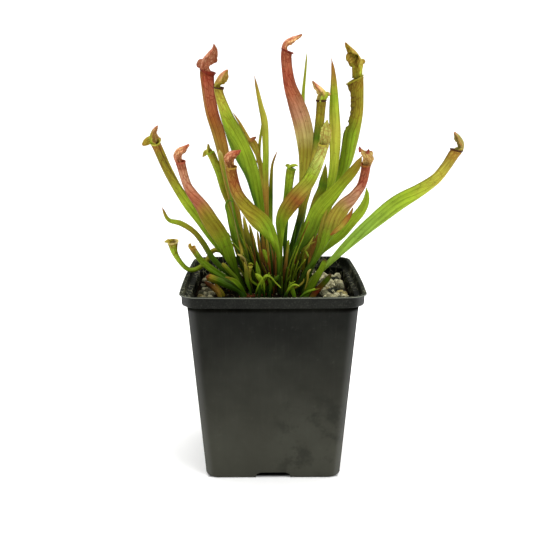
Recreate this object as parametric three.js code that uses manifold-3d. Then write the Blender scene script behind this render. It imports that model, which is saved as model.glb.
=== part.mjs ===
// A trumpet pitcher plant growing in a square black nursery pot.
// Millimetres, +Z up. The origin is the centre of the pot's underside, the
// front of the plant faces -Y and +X is to the viewer's right.

import * as THREE from "three";
import { mergeVertices } from "three/addons/utils/BufferGeometryUtils.js";
import Module from "manifold-3d";

const wasm = await Module();
wasm.setup();

// Pot
const POT_HEIGHT = 121.5;
const LIP_HALF = 55;
const BAND_HALF = 53.6;
const BODY_TOP_HALF = 51;
const FOOT_HALF = 42.6;
const BAND_HEIGHT = 7;
const WALL = 1.1;
const FLOOR_THICK = 1.6;
const LIP_THICK = 0.9;
const CORNER_RADIUS = 9.5;
const FOOT_RADIUS = 8;
const SIDE_BOW = 1.4;
const NOTCH_TOP_WIDTH = 19.5;
const NOTCH_FOOT_WIDTH = 21.9;
const NOTCH_HEIGHT = 3.9;
const NOTCH_DEPTH = 8;
const RIB_DROP = 22;
const RIB_THICK = 0.9;
const RIB_DEPTH = 1.6;
const RIB_FROM_CORNER = 13;

// Soil and what lies on it
const GAP = 0.3;
const SOIL_EDGE = 110;
const MOUND = 2.2;
const LUMP = 0.8;
const STEM_FOOT = 101;
const STEM_HOLE_TOP = 119;
const HOLE_GAP = 0.5;
const PEG_SIDES = 5;
const SEED = 7;
const SLIVER = 0.055;
const FOOT_CROWDING = 1.2;

// Leaves
const KEEL_HALF = 0.4;
const LEAF_WALL = 0.8;
const HOOD_HALF = 0.42;
const HOOD_SKEW = 3;
const HOOD_FOOT_SWELL = 1.6;
const BLADE_EDGE = 0.32;
const BLADE_MIDDLE = 0.5;

const COLOURS = {
  pot: 0x35362f,
  soil: 0x2a2018,
  grit: 0xb4b49c,
  rhizome: 0x5f3018,
  green: 0x7f9c2c,
  darkGreen: 0x3f6416,
  olive: 0x8d8a32,
  red: 0xa4563a,
  brown: 0x7b5424,
};

// Pitchers: a tube with a keel down its front, an open mouth and a hood.
// route: [x, y, z, half width of tube and keel] from the soil to the mouth.
// bore: tube radius at the mouth. side: the way the keel points low down,
// face: the way the mouth points, both in degrees from +X towards the viewer.
// rise: how much higher the back of the mouth is than its front, per mm.
// hood: [forward, up, half width] from the centre of the mouth.
const PITCHERS = {
  pitcher_tall_red: {
    colour: "red", bore: 4.3, side: 0, face: 30, rise: 0.25, spout: 1.2, curl: 0.85,
    route: [[-9.5, 12, STEM_FOOT, 1.7], [-11, 12, 112, 1.7], [-13.5, 12.5, 124.5, 1.8], [-20, 14, 142.5, 2.3],
      [-23.5, 16, 160, 2.6], [-27, 18, 174.5, 3.1], [-30, 20, 188.5, 3.6], [-32.3, 21, 201.5, 4.1],
      [-35, 22, 212.5, 4.4], [-39, 24, 226, 4.4], [-41.5, 26, 246, 4.7], [-41.5, 26, 250, 4.7]],
    hood: [[-3.9, -2, 3.2], [-4.3, 2.5, 2.8], [-3, 7, 5], [1, 11.5, 5.4], [4.5, 14.8, 3], [6, 16.8, 0.5]],
  },
  pitcher_left_green: {
    colour: "green", bore: 2.6, side: 0, face: 35, rise: 0.3, spout: 0.6, curl: 0.9,
    route: [[-4, 10, STEM_FOOT, 1.7], [-4.2, 10, 112, 1.7], [-5.3, 9, 136, 2], [-7.2, 8, 159.5, 2.6], [-10, 6, 174.5, 3.8],
      [-13, 4, 187, 4.8], [-19.5, 0, 203, 6.5], [-26.2, -3, 219, 4.9], [-31.5, -5, 234.5, 3.1], [-32.4, -5, 239.5, 3]],
    hood: [[-2.3, -1.5, 1.9], [-2.3, 1, 1.7], [-1, 3.8, 3], [2.4, 6.8, 3.6], [6, 8.4, 2.6], [9.2, 9, 0.4]],
  },
  pitcher_front_left: {
    colour: "red", bore: 3.1, side: 0, face: 35, rise: 0.15, spout: 0.8, curl: 0.9,
    route: [[4, -13, STEM_FOOT, 1.3], [4, -13, 114.5, 1.3], [4, -14, 133, 1.35], [3, -15, 141.5, 1.7], [0, -17, 149, 3.3],
      [-3.7, -19, 155.5, 4.9], [-8.7, -21, 161.5, 5.8], [-15.5, -24, 169.5, 4.6], [-20.5, -27, 177.5, 4.1],
      [-23, -29, 186, 3.8], [-24.5, -30, 194, 3.5]],
    hood: [[-2.8, -1.5, 2.6], [-3.1, 2.5, 2.8], [-1.8, 6.3, 4.1], [1.8, 8.6, 3.9], [5.8, 9.4, 2.2], [9.4, 10, 0.4]],
  },
  pitcher_far_left: {
    colour: "olive", bore: 2.9, side: 0, face: 60, rise: 0.35, spout: 0.8, curl: 0.6,
    route: [[-15.5, 6, STEM_FOOT, 1.6], [-18, 6, 110, 1.7], [-21.4, 5, 117.5, 1.8], [-29.4, 3, 132.5, 2],
      [-38.5, 0, 145.5, 2.4], [-46, -4, 158.5, 3], [-53.5, -8, 170.5, 3.4], [-63, -12, 189, 3.4],
      [-69, -16, 204.5, 3.2], [-70.4, -17, 208, 3.3]],
    hood: [[-2.4, -1, 2.6], [-3.2, 1.4, 4], [-2.2, 4.4, 2.6], [0.6, 7.4, 2.4], [3.6, 9.6, 1.8], [7.4, 10.6, 0.4]],
  },
  pitcher_left_pink: {
    colour: "red", bore: 2.6, side: 0, face: 30, rise: 0.15, spout: 0.6, curl: 0.85,
    route: [[-15.5, -3, STEM_FOOT, 1.6], [-18.4, -3, 111.5, 1.7], [-20.7, -4, 118.5, 1.8], [-23.6, -6, 126, 2.2],
      [-26.5, -9, 135, 3.4], [-29.7, -12, 144, 4.5], [-33.7, -15, 152.5, 5.3], [-38.6, -18, 161, 5.2],
      [-42.7, -21, 169.5, 4.3], [-47.8, -24, 177.5, 3.5], [-51, -25.5, 184, 2.9], [-54.2, -28, 197, 3]],
    hood: [[-2.4, -1.5, 2.1], [-3, 2, 2.3], [-2.6, 5.6, 3.6], [0.4, 8.8, 3.9], [4.6, 9.8, 2.6], [9, 11, 0.4]],
  },
  pitcher_low_over_rim: {
    colour: "olive", bore: 2.6, side: 0, face: 20, rise: 0, spout: 0.6, curl: -0.1,
    route: [[-20.3, 11.8, STEM_FOOT, 1.6], [-21.3, 11.5, 112, 1.7], [-24.6, 10.5, 124.5, 1.9], [-30.5, 8.5, 133.5, 1.9],
      [-35.8, 7, 136.5, 1.9], [-39.3, 6.5, 135.5, 1.9], [-42, 6, 131, 1.9], [-46, 6, 126.2, 1.9],
      [-51.2, 5, 123.8, 1.8], [-55.5, 3, 125, 1.9], [-59.6, 0, 130.5, 2.1], [-62.6, -3, 137.5, 2.4], [-63.4, -5, 144.5, 2.9]],
    hood: [[-2.3, -1, 1.9], [-3.2, 0.6, 2.1], [-5, 1, 2], [-6.6, -0.2, 1.4], [-7.6, -2, 0.5]],
  },
  pitcher_tall_center: {
    colour: "red", bore: 3, side: 0, face: 15, rise: 0.3, spout: 1.4, curl: 1,
    route: [[11.8, 17.5, STEM_FOOT, 1.7], [12.6, 17.5, 112, 1.7], [16, 18.5, 134, 1.9], [19.3, 19, 154, 2.4], [21.2, 22, 171, 3.5],
      [23, 26, 193, 5.1], [22.3, 28, 205.5, 5.9], [20, 30, 217.5, 6.1], [16, 32, 230, 5.5], [11.8, 33, 242, 4.1],
      [9.4, 34, 258, 3.4], [9.7, 34, 263, 3.3]],
    hood: [[-2.7, -1.5, 2.1], [-2.8, 2.4, 2], [-1.2, 5.9, 3], [2.6, 8.3, 3], [6.4, 9.5, 1.8], [9.6, 10.6, 0.4]],
  },
  pitcher_center_olive: {
    colour: "olive", bore: 2.9, side: 180, face: 150, rise: 0.25, spout: 0.6, curl: 1.1,
    route: [[5.6, -4, STEM_FOOT, 1.5], [5.6, -4, 112, 1.5], [5, -5, 134.5, 1.5], [5.2, -6, 147, 2], [5.6, -8, 157.5, 3.6],
      [8.8, -10, 165.5, 4.9], [15.2, -13, 174.5, 5.3], [21.7, -16, 184, 4.6], [25.7, -18, 192.5, 4.2],
      [28.5, -20, 200, 3.6], [30.6, -21, 206.5, 3.2]],
    hood: [[-2.4, -1.5, 2.4], [-2.8, 2, 2.8], [-2, 5.4, 4.6], [0.6, 8.6, 4.4], [3.4, 10.8, 2.4], [5.2, 12.2, 0.4]],
  },
  pitcher_center_dark: {
    colour: "darkGreen", bore: 2.8, side: 180, face: 160, rise: 0.1, spout: 0.5, curl: 0.8,
    route: [[8.9, 12.6, STEM_FOOT, 1.6], [9.4, 12.6, 112, 1.6], [12.6, 12.5, 135, 1.8], [18.1, 12, 156, 2.1], [22.5, 12, 173, 2.5],
      [25.8, 13, 186.5, 2.9], [28.4, 14, 199, 3], [29.5, 15, 209.5, 3.1], [30.5, 16, 218.5, 3.1], [31.6, 16, 231.5, 3.1]],
    hood: [[-2.3, -1.7, 2.2], [-2.6, 1.5, 2.3], [-3, 4.2, 3.2], [0, 7.2, 3.4], [4, 9.4, 2.5], [7.4, 11.4, 0.4]],
  },
  pitcher_tall_right: {
    colour: "olive", bore: 4.4, side: 180, face: 155, rise: 0.52, spout: 2.6, curl: 0.9,
    route: [[19.5, 20, STEM_FOOT, 1.7], [22.5, 20, 110, 1.7], [29, 20, 133.5, 1.8], [36, 21, 157, 2.2], [41, 22, 173.5, 2.6],
      [46, 23, 185, 3.2], [48.7, 24, 193, 4.4], [50.4, 25, 201, 5], [52, 26, 209.5, 5.5], [54, 27, 217.5, 5],
      [55.2, 28, 226, 4.8], [55.2, 29, 238, 4.8], [55, 30, 245, 4.8]],
    hood: [[-3.8, 0.8, 2.8], [-4.1, 6.2, 2.7], [-4.8, 10, 3.8], [-1.6, 15, 5], [2.2, 18.8, 4.2], [5, 20.8, 2], [7.6, 22.8, 0.5]],
  },
  pitcher_right_pink: {
    colour: "red", bore: 2.8, side: 180, face: 130, rise: 0.1, spout: 0.5, curl: -0.25,
    route: [[14.8, -7, STEM_FOOT, 1.6], [15.3, -7, 112.5, 1.6], [20.2, -7, 123, 1.7], [27.8, -7, 134, 1.9], [32, -7, 142.5, 2.2],
      [35.1, -7, 149.5, 3.6], [38.1, -8, 155.5, 5.2], [40.7, -9, 162, 5.6], [43.9, -10, 167.8, 5.4], [48.5, -12, 173, 4.6],
      [52, -14, 178, 3.9], [54.6, -15, 182.5, 3.3], [56, -16, 189, 3.2], [56.5, -17, 194, 3.1]],
    hood: [[-2.5, -1.5, 2.3], [-2.4, 2, 2.5], [-0.1, 5, 3.2], [3.6, 8, 3.5], [6.4, 9.6, 3.4]],
  },
  pitcher_far_right: {
    colour: "green", bore: 2.9, side: 180, face: 165, rise: 0.45, spout: 0.8, curl: 0.9,
    route: [[18.5, -10, STEM_FOOT, 1.6], [19.8, -10, 111.5, 1.6], [24.5, -11, 120, 1.7], [31, -12, 127.5, 1.8],
      [37.5, -14, 134.5, 2], [45, -16, 143, 2.9], [54.5, -19, 153, 3.9], [65, -22, 163, 4.7], [76, -25, 172.5, 5],
      [87, -27, 179.5, 4.1], [96, -29, 186.5, 3.4], [101.2, -30, 193.5, 3.2], [105, -31, 200, 3.2], [107.4, -31, 203.5, 3.2]],
    hood: [[-2.3, -0.5, 2.1], [-2.6, 2.8, 2.3], [-0.2, 5.6, 3.2], [4, 7, 2.9], [8.2, 6.8, 0.5]],
  },
  pitcher_small_green: {
    colour: "darkGreen", bore: 1.9, side: 0, face: 20, rise: 0.1, spout: 0.4, curl: 0.5,
    route: [[9.2, 8, STEM_FOOT, 1.3], [9.2, 8, 112, 1.3], [8.4, 7, 143, 1.5], [9, 6, 164, 1.9], [10.4, 6, 176, 2.1],
      [11.4, 6, 185.5, 2.2], [12.2, 6, 189.5, 2.2]],
    hood: [[-1.6, -1, 1.4], [-1.7, 1.2, 1.3], [0, 3, 1.9], [2.2, 3.6, 1.6], [4, 2.9, 0.4]],
  },
  pitcher_thin_left: {
    colour: "green", bore: 1.6, side: 0, face: 20, rise: 0.1, spout: 0.3, curl: 0.5,
    route: [[-14, 20.5, STEM_FOOT, 1.4], [-16.5, 20.5, 112, 1.5], [-21.9, 21, 136, 1.7], [-24.1, 22, 150, 1.8],
      [-27.4, 23, 162.5, 1.8], [-31.6, 24, 174, 1.9], [-34.8, 25, 185, 1.9], [-38.9, 26, 195, 1.9], [-40.5, 26, 198, 1.9]],
    hood: [[-1.4, -1, 1.5], [-2.6, 0.9, 2.4], [-1.6, 3, 2.2], [0.6, 4.8, 1.2], [1.8, 5.6, 0.35]],
  },
  pitcher_low_left: {
    colour: "olive", bore: 2, side: 0, face: 40, rise: 0.1, spout: 0.4, curl: 0.4,
    route: [[-17, -13, STEM_FOOT, 1.5], [-19.3, -14, 115.5, 1.7], [-30, -16, 123.5, 2.1], [-38, -18, 129.7, 2.3],
      [-44, -20, 136, 2.4], [-49, -22, 144, 2.3]],
    hood: [[-1.7, -1, 1.4], [-1.9, 1, 1.3], [-1.2, 2.6, 1.5], [0.6, 3.2, 0.5]],
  },
  pitcher_tiny_front: {
    colour: "green", bore: 1.1, side: 0, face: 80, rise: 0.1, spout: 0.3, curl: 0.5,
    route: [[-4.5, -18, STEM_FOOT, 1.1], [-5.6, -18, 114, 1.1], [-8.6, -20, 119, 1.1], [-12.6, -21, 122.5, 1.1],
      [-14, -22, 127, 1.2], [-13.6, -22, 132, 1.4]],
    hood: [[-0.8, -0.8, 0.9], [-1, 0.8, 0.9], [0, 2.2, 1.6], [1.4, 2.6, 0.4]],
  },
};

// Blades and stems: [x, y, z, half width] from the soil to the tip. flat is
// the half thickness at the tip, bend folds the blade along its middle, and
// side is the way the blade's face looks away from, as for the pitchers.
const BLADES = {
  leaf_right_broad: {
    colour: "green", side: 180, bend: 0.18,
    route: [[7.7, 2, STEM_FOOT, 1.9], [8, 2, 112, 2], [9.5, 2, 124, 2.3], [15.3, 2, 136.5, 2.9], [23.5, 3, 149, 4],
      [27.5, 3, 159.5, 4.8], [32.5, 3, 167, 5.4], [35.8, 3, 170.5, 5], [43.8, 4, 179.5, 3.7], [50, 4, 186.5, 3.2],
      [54, 4, 192, 2.4], [56.6, 4, 197.5, 0.8]],
  },
  leaf_right_curved: {
    colour: "green", side: 180, bend: 0.2,
    route: [[18, 5, STEM_FOOT, 1.6], [18.5, 5, 111, 1.6], [25.4, 5, 126.5, 2], [31.5, 5, 135.5, 2.3], [36.3, 5, 140, 2.6],
      [44.6, 5, 147, 2.9], [51, 4, 155.3, 3.2], [56.4, 4, 161.8, 3.2], [59.3, 3, 167.7, 2.6], [60.3, 3, 172.8, 1.6],
      [59.9, 3, 177.6, 0.6]],
  },
  blade_tall_right: {
    colour: "green", side: 0, bend: 0.15,
    route: [[18, 13, STEM_FOOT, 1.6], [19, 12.5, 111, 1.6], [24.4, 12, 135, 1.7], [30.7, 12, 155.5, 1.9], [35.1, 13, 170.5, 2.4],
      [38.8, 14, 181.5, 2.8], [40.5, 16, 193.5, 3.1], [40.8, 18, 210, 3.8], [40.2, 20, 226, 3.3], [39.8, 22, 242, 2.1],
      [39.3, 23, 250, 1.3], [38.2, 24, 257.7, 0.5]],
  },
  blade_center_left: {
    colour: "green", side: 0, bend: 0.15,
    route: [[-0.7, 17, STEM_FOOT, 1.5], [-0.9, 17, 112, 1.5], [-2, 20, 140.5, 1.5], [-3.3, 22, 156.5, 1.8], [-3.9, 24, 168, 2],
      [-4.1, 28, 184.5, 2.1], [-4, 31, 201, 2.1], [-4.8, 34, 217.5, 2.3], [-7.2, 36, 228, 1.7], [-9.3, 38, 237.5, 1.2],
      [-11.4, 40, 247.5, 0.4]],
  },
  blade_behind_center: {
    colour: "green", side: 0, bend: 0.1,
    route: [[13.5, 30, STEM_FOOT, 1.4], [15, 31, 112, 1.4], [20, 36, 151.5, 1.4], [21.4, 42, 191.5, 1.4], [21.3, 44, 215, 1.4],
      [21.3, 45, 234, 1.2], [22.7, 46, 250.5, 0.8], [23.8, 46, 263.5, 0.4]],
  },
  blade_dark_right: {
    colour: "darkGreen", side: 0, bend: 0.2,
    route: [[14.5, 8, STEM_FOOT, 1.5], [15.2, 8, 112, 1.5], [17, 8, 135, 1.5], [20.8, 9, 149, 1.6], [25.3, 9, 160, 2],
      [28.8, 9, 169, 2.6], [31.9, 9, 175.5, 2.8], [33, 9, 181, 2.6], [33.9, 9, 187, 1.6], [34.2, 9, 192.5, 0.4]],
  },
  blade_front_right: {
    colour: "green", side: 0, bend: 0.2,
    route: [[18.5, -1.5, STEM_FOOT, 1.6], [19, -2, 112, 1.6], [24.3, -2, 125, 1.9], [28.1, -2.2, 133.7, 1.9], [29.9, -2.4, 141.6, 1.8],
      [30.8, -2.6, 149.5, 1.6], [32.4, -2.8, 157, 1.4], [34.6, -3, 164.5, 0.5]],
  },
  blade_narrow_dark: {
    colour: "darkGreen", side: 0, bend: 0.1,
    route: [[2, 11, STEM_FOOT, 1.3], [1.9, 11, 112, 1.3], [0.6, 12, 135.5, 1.3], [-0.7, 13, 152, 1.3], [-0.8, 14, 169, 1.4],
      [-0.5, 15, 181.5, 1.2], [0.4, 16, 191.5, 0.8], [3.5, 16, 200, 0.4]],
  },
  leaf_curled_left: {
    colour: "olive", side: 0, bend: 0.3,
    route: [[-22.5, 0, STEM_FOOT, 1.3], [-23.5, 0, 113, 1.4], [-26.8, 0, 120.5, 1.5], [-33.3, 0, 126.5, 1.7], [-39.6, 0, 134, 1.8],
      [-44.5, 0, 142.5, 1.9], [-50.6, 1, 150, 1.8], [-58.7, 2, 155, 1.8], [-66.5, 2, 157.5, 1.3], [-70.3, 2, 165.5, 0.6]],
  },
  leaf_curled_small: {
    colour: "green", side: 0, bend: 0.3,
    route: [[-14.6, 14.5, STEM_FOOT, 1.3], [-16.8, 13.5, 112, 1.3], [-24.2, 8.5, 139.5, 1.4], [-26.6, 6, 152, 1.5], [-28.3, 5, 161, 1.2],
      [-29.6, 4.5, 166, 0.8], [-28, 4, 169.4, 0.6], [-24.6, 3.6, 168.6, 0.45]],
  },
  leaf_cut_left: {
    colour: "darkGreen", side: 0, bend: 0.3,
    route: [[-16.5, -20, STEM_FOOT, 1.8], [-19.6, -21, 115, 1.9], [-29.4, -24, 121.5, 2.4], [-40.5, -26, 126.8, 2.5]],
  },
  leaf_short_left: {
    colour: "green", side: 0, bend: 0.2,
    route: [[-21, -7, STEM_FOOT, 1.3], [-22, -8, 118, 1.4], [-26.6, -9, 125, 1.6], [-31.8, -10, 131.5, 1.4]],
  },
  leaf_tiny_yellow: {
    colour: "olive", side: 0, bend: 0.2,
    route: [[-28.5, -12, STEM_FOOT, 1.1], [-31.6, -12, 112, 1.1], [-34.6, -13, 116.5, 1], [-36.4, -14, 120.4, 0.6]],
  },
  leaf_tiny_pointed: {
    colour: "green", side: 0, bend: 0.2,
    route: [[-6.4, -11.5, STEM_FOOT, 1.1], [-6.8, -12, 116, 1.2], [-8.6, -12, 123.5, 1.5], [-9.7, -13, 129, 1.2], [-9.9, -13, 133.5, 0.4]],
  },
  leaf_tiny_arched: {
    colour: "green", side: 0, bend: 0.3,
    route: [[-8.5, -25, STEM_FOOT, 1.2], [-8.5, -25, 116, 1.3], [-7, -25, 123, 1.6], [-4.4, -25, 126.2, 1.7], [-1.2, -25, 126, 1.4],
      [1.8, -25, 122.6, 1], [5.2, -25, 119.2, 0.9]],
  },
  leaf_blunt_right: {
    colour: "green", side: 180, bend: 0.25,
    route: [[19, -18, STEM_FOOT, 1.8], [21, -19, 113, 2], [25, -20, 120.5, 2.2], [29, -21, 128, 2], [32.6, -22, 136.5, 1.5]],
  },
  leaf_low_right: {
    colour: "darkGreen", side: 180, bend: 0.25,
    route: [[22, -24, STEM_FOOT, 1.5], [24.4, -24, 112.5, 1.7], [29.5, -25, 120, 1.9], [33.6, -26, 125, 1.6], [35.6, -26, 128.3, 0.8]],
  },
  leaf_withered_pale: {
    colour: "olive", side: 0, bend: 0.3,
    route: [[20.2, -14.5, STEM_FOOT, 0.9], [20.6, -15, 114, 0.9], [22, -15, 121, 1], [22.4, -15, 126, 1.3], [24, -15, 128.6, 1]],
  },
  leaf_tiny_wedge: {
    colour: "green", side: 0, bend: 0.2,
    route: [[13.5, -24, STEM_FOOT, 0.9], [13.6, -24, 112, 1.1], [12, -24, 118, 1.5], [10.4, -24, 123, 0.4]],
  },
  stem_brown_left: {
    colour: "brown", side: 0, bend: 0,
    route: [[-5.5, 1, STEM_FOOT, 1.1], [-5.7, 1, 112, 1.1], [-6.2, 1, 123.5, 1.1], [-6.4, 1, 137, 1]],
  },
  stem_brown_center: {
    colour: "brown", side: 0, bend: 0,
    route: [[0.5, 4, STEM_FOOT, 1.3], [0.5, 4, 112, 1.3], [-0.1, 4, 129, 1.3], [-2.7, 3, 144, 1.2]],
  },
  stem_red_right: {
    colour: "brown", side: 0, bend: 0,
    route: [[8.2, -9, STEM_FOOT, 1.1], [8, -9, 113, 1.1], [8.3, -9, 126.5, 1.1], [9, -9.5, 136, 1], [10.2, -10, 146.5, 0.9]],
  },
  leaf_dark_narrow_left: {
    colour: "darkGreen", side: 0, bend: 0.1,
    route: [[-11.8, 0, STEM_FOOT, 1.3], [-12, 0, 112, 1.3], [-13.7, 0, 134.5, 1.6], [-16.2, -1, 148, 1.9], [-18.2, -2, 160.5, 0.6]],
  },
  leaf_dark_narrow_center: {
    colour: "darkGreen", side: 0, bend: 0.1,
    route: [[-9.4, 5.5, STEM_FOOT, 1.2], [-9.4, 5.5, 112, 1.3], [-10.2, 5, 129, 1.5], [-12.2, 5, 141.5, 1.6], [-14.7, 4, 154, 0.5]],
  },
  leaf_small_center: {
    colour: "green", side: 0, bend: 0.2,
    route: [[-0.6, -6, STEM_FOOT, 1.1], [-0.8, -6, 114, 1.1], [-2.8, -7, 123, 1.3], [-5, -7, 127.6, 1.3], [-5.8, -7, 131, 0.5]],
  },
};

// A dead reed with the shrivelled pitcher that still hangs on it.
const REED = {
  colour: "brown", side: 0, bend: 0.1,
  route: [[-3.4, 25, STEM_FOOT, 1.4], [-3.5, 25, 112, 1.4], [-4.7, 29, 145.5, 1.4], [-5.6, 31, 167, 1.5], [-6.9, 34, 184.5, 1.7],
    [-9.2, 35, 195, 1.7], [-11.9, 35, 200.5, 1.7], [-15.5, 35, 206.5, 1.3], [-21, 35, 216.5, 0.9], [-25.9, 35, 224, 0.4]],
};
const REED_CURL = {
  side: 0, bend: 0.2,
  route: [[-11.2, 35, 199.4, 1], [-11.6, 35, 201.4, 1.1], [-13, 35.4, 203.6, 1.1], [-16.8, 35.4, 201.8, 1], [-17.4, 35.4, 197.6, 0.9], [-14.6, 35.4, 194.4, 0.6]],
};
const REED_FLAP = {
  side: 0, bend: 0.2,
  route: [[-11.2, 35, 198.4, 1.2], [-10.4, 34.8, 200.4, 1.4], [-8.6, 34.4, 202.6, 1.3], [-6.9, 34.2, 206.2, 0.5]],
};

// The dead leaf that lies beside the tiny yellow one.
const DEAD_LEAF = {
  colour: "brown", side: 0, bend: 0.3,
  route: [[-32.6, -16, 109.5, 1.2], [-34, -16, 113.5, 1.6], [-37.4, -16.5, 117.2, 1.9], [-40.6, -17, 119.6, 1.3], [-42.4, -17, 121.4, 0.6]],
};

// Rhizome: [x, y, z, radius] of the creeping stem in the middle of the clump.
const RHIZOME = [[-21, -17.5, 111.5, 1.4], [-17, -17, 110.5, 3], [-11, -16, 109, 4], [-5, -13, 107.5, 4.6], [2, -9, 107, 4.8],
  [9, -4, 107, 4.6], [14, 1, 107, 3.6], [16, 3.5, 107, 1.6]];

function randomSource(seed) {
  let state = seed;
  return () => {
    state = (state * 1664525 + 1013904223) % 4294967296;
    return state / 4294967296;
  };
}

const asVectors = (rows) => rows.map(([x, y, z]) => new THREE.Vector3(x, y, z));
const smoothStep = (from, to, value) => THREE.MathUtils.smoothstep(value, from, to);

function curveThrough(points) {
  return new THREE.CatmullRomCurve3(points, false, "catmullrom", 0.5);
}

// Skins rings of equal length and closes both ends with a fan.
function loft(rings) {
  const count = rings[0].length;
  const positions = [];
  const index = [];
  const put = (v) => positions.push(v.x, v.y, v.z) / 3 - 1;
  rings.forEach((ring) => ring.forEach(put));
  for (let r = 0; r < rings.length - 1; r += 1) {
    for (let k = 0; k < count; k += 1) {
      const a = r * count + k;
      const b = r * count + ((k + 1) % count);
      index.push(a, b, b + count, a, b + count, a + count);
    }
  }
  const centre = (ring) => ring.reduce((sum, v) => sum.add(v), new THREE.Vector3()).divideScalar(count);
  const first = put(centre(rings[0]));
  const last = put(centre(rings[rings.length - 1]));
  const lastRing = (rings.length - 1) * count;
  for (let k = 0; k < count; k += 1) {
    const next = (k + 1) % count;
    index.push(first, next, k, last, lastRing + k, lastRing + next);
  }
  const geometry = new THREE.BufferGeometry();
  geometry.setAttribute("position", new THREE.Float32BufferAttribute(positions, 3));
  geometry.setIndex(index);
  return outward(geometry);
}

function signedVolume(geometry) {
  const p = geometry.getAttribute("position");
  const index = geometry.getIndex().array;
  const corner = [0, 1, 2].map(() => new THREE.Vector3());
  let volume = 0;
  for (let i = 0; i < index.length; i += 3) {
    corner.forEach((v, k) => v.fromBufferAttribute(p, index[i + k]));
    volume += corner[0].dot(corner[1].clone().cross(corner[2])) / 6;
  }
  return volume;
}

// Turns the faces of a closed mesh so that they point out.
function outward(geometry) {
  if (signedVolume(geometry) < 0) {
    const index = geometry.getIndex().array;
    for (let i = 0; i < index.length; i += 3) {
      [index[i + 1], index[i + 2]] = [index[i + 2], index[i + 1]];
    }
  }
  return geometry;
}

function solidOf(geometry) {
  const bare = geometry.clone();
  bare.deleteAttribute("normal");
  bare.deleteAttribute("uv");
  const merged = mergeVertices(bare, 1e-4);
  return new wasm.Manifold(new wasm.Mesh({
    numProp: 3,
    vertProperties: Float32Array.from(merged.getAttribute("position").array),
    triVerts: Uint32Array.from(merged.getIndex().array),
  }));
}

function geometryOf(solid) {
  const mesh = solid.simplify(SLIVER).getMesh();
  const geometry = new THREE.BufferGeometry();
  geometry.setAttribute("position", new THREE.Float32BufferAttribute(mesh.vertProperties, 3));
  geometry.setIndex(Array.from(mesh.triVerts));
  return geometry;
}

// Keeps the biggest piece of a cut or joined solid, so that loose scraps go.
function biggest(solid) {
  const pieces = solid.decompose();
  return pieces.reduce((best, piece) => (piece.volume() > best.volume() ? piece : best));
}

const together = (solids) => biggest(solids.reduce((sum, solid) => sum.add(solid)));

// The leaf's own directions at a point: along it, forward to its mouth or
// keel, and across. The angle turns forward from +X towards the viewer.
function leafFrame(along, angle) {
  const turn = THREE.MathUtils.degToRad(angle);
  const across = new THREE.Vector3(Math.sin(turn), Math.cos(turn), 0);
  const forward = across.clone().cross(along).normalize();
  return { along, forward, across: along.clone().cross(forward).normalize() };
}

function place(origin, frame, forward, across, along = 0) {
  return origin.clone()
    .addScaledVector(frame.forward, forward)
    .addScaledVector(frame.across, across)
    .addScaledVector(frame.along, along);
}

// Places along a leaf, closer together near its foot.
function stations(leaf, count) {
  return Array.from({ length: count }, (_, i) => stationAt(leaf, (i / (count - 1)) ** FOOT_CROWDING));
}

// One place along a leaf, with the half width and the directions there.
function stationAt(leaf, share) {
  const path = curveThrough(asVectors(leaf.route));
  const widths = curveThrough(leaf.route.map((row) => new THREE.Vector3(row[3], 0, 0)));
  path.arcLengthDivisions = 400;
  const t = path.getUtoTmapping(share);
  const angle = leaf.side + ((leaf.face ?? leaf.side) - leaf.side) * smoothStep(0.45, 0.95, share);
  return {
    share,
    length: path.getLength(),
    centre: path.getPoint(t),
    half: Math.max(0.35, widths.getPoint(t).x),
    frame: leafFrame(path.getTangent(t), angle),
  };
}

// Section of a pitcher: a round tube behind, drawn out to a thin keel in front.
function tearDrop({ centre, frame, half }, tube) {
  const back = tube - half;
  const root = back + tube + 0.25 * (half - back - tube);
  const outline = [
    [back - tube, 0], [back - 0.62 * tube, 0.78 * tube], [back + 0.26 * tube, 0.97 * tube],
    [root, KEEL_HALF + 0.1 * tube], [half, KEEL_HALF],
    [half, -KEEL_HALF], [root, -KEEL_HALF - 0.1 * tube],
    [back + 0.26 * tube, -0.97 * tube], [back - 0.62 * tube, -0.78 * tube],
  ];
  return outline.map(([u, v]) => place(centre, frame, u, v));
}

const MOUTH_ANGLES = [180, 130, 82, 42, 12, -12, -42, -82, -130].map(THREE.MathUtils.degToRad);

// A round ring at the mouth, higher at the back and drawn out at the front.
function mouthRing({ centre, frame }, radius, lift, rise, spout) {
  return MOUTH_ANGLES.map((a) => {
    const front = Math.max(0, Math.cos(a));
    const u = radius * Math.cos(a) + spout * front * front;
    return place(centre, frame, u, radius * Math.sin(a), lift - rise * u);
  });
}

function tubeRadius(leaf, share, half) {
  const grown = leaf.bore * (0.42 + 0.58 * smoothStep(0.1, 0.85, share));
  return Math.min(grown, half - 0.2);
}

function pitcherTube(leaf, count) {
  const line = stations(leaf, count);
  const end = line[count - 1];
  const outer = line.slice(0, -1).map((s) => tearDrop(s, tubeRadius(leaf, s.share, s.half)));
  const inside = leaf.bore - LEAF_WALL;
  const down = (depth) => {
    const s = stationAt(leaf, 1 - depth / end.length);
    const tube = tubeRadius(leaf, s.share, s.half);
    return { centre: place(s.centre, s.frame, tube - s.half, 0), frame: s.frame };
  };
  const throat = Math.min(5, leaf.bore * 2.2);
  return loft([
    ...outer,
    mouthRing(end, leaf.bore, -0.8, leaf.rise, leaf.spout * 0.5),
    mouthRing(end, leaf.bore * 1.18 + 0.3, 0.1, leaf.rise, leaf.spout),
    mouthRing(end, leaf.bore * 1.06, 0.7, leaf.rise, leaf.spout),
    mouthRing(end, inside, 0.1, leaf.rise, leaf.spout * 0.6),
    mouthRing(down(throat), inside * 0.78, 0, 0, 0),
    mouthRing(down(throat * 2), inside * 0.4, 0, 0, 0),
  ]);
}

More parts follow.
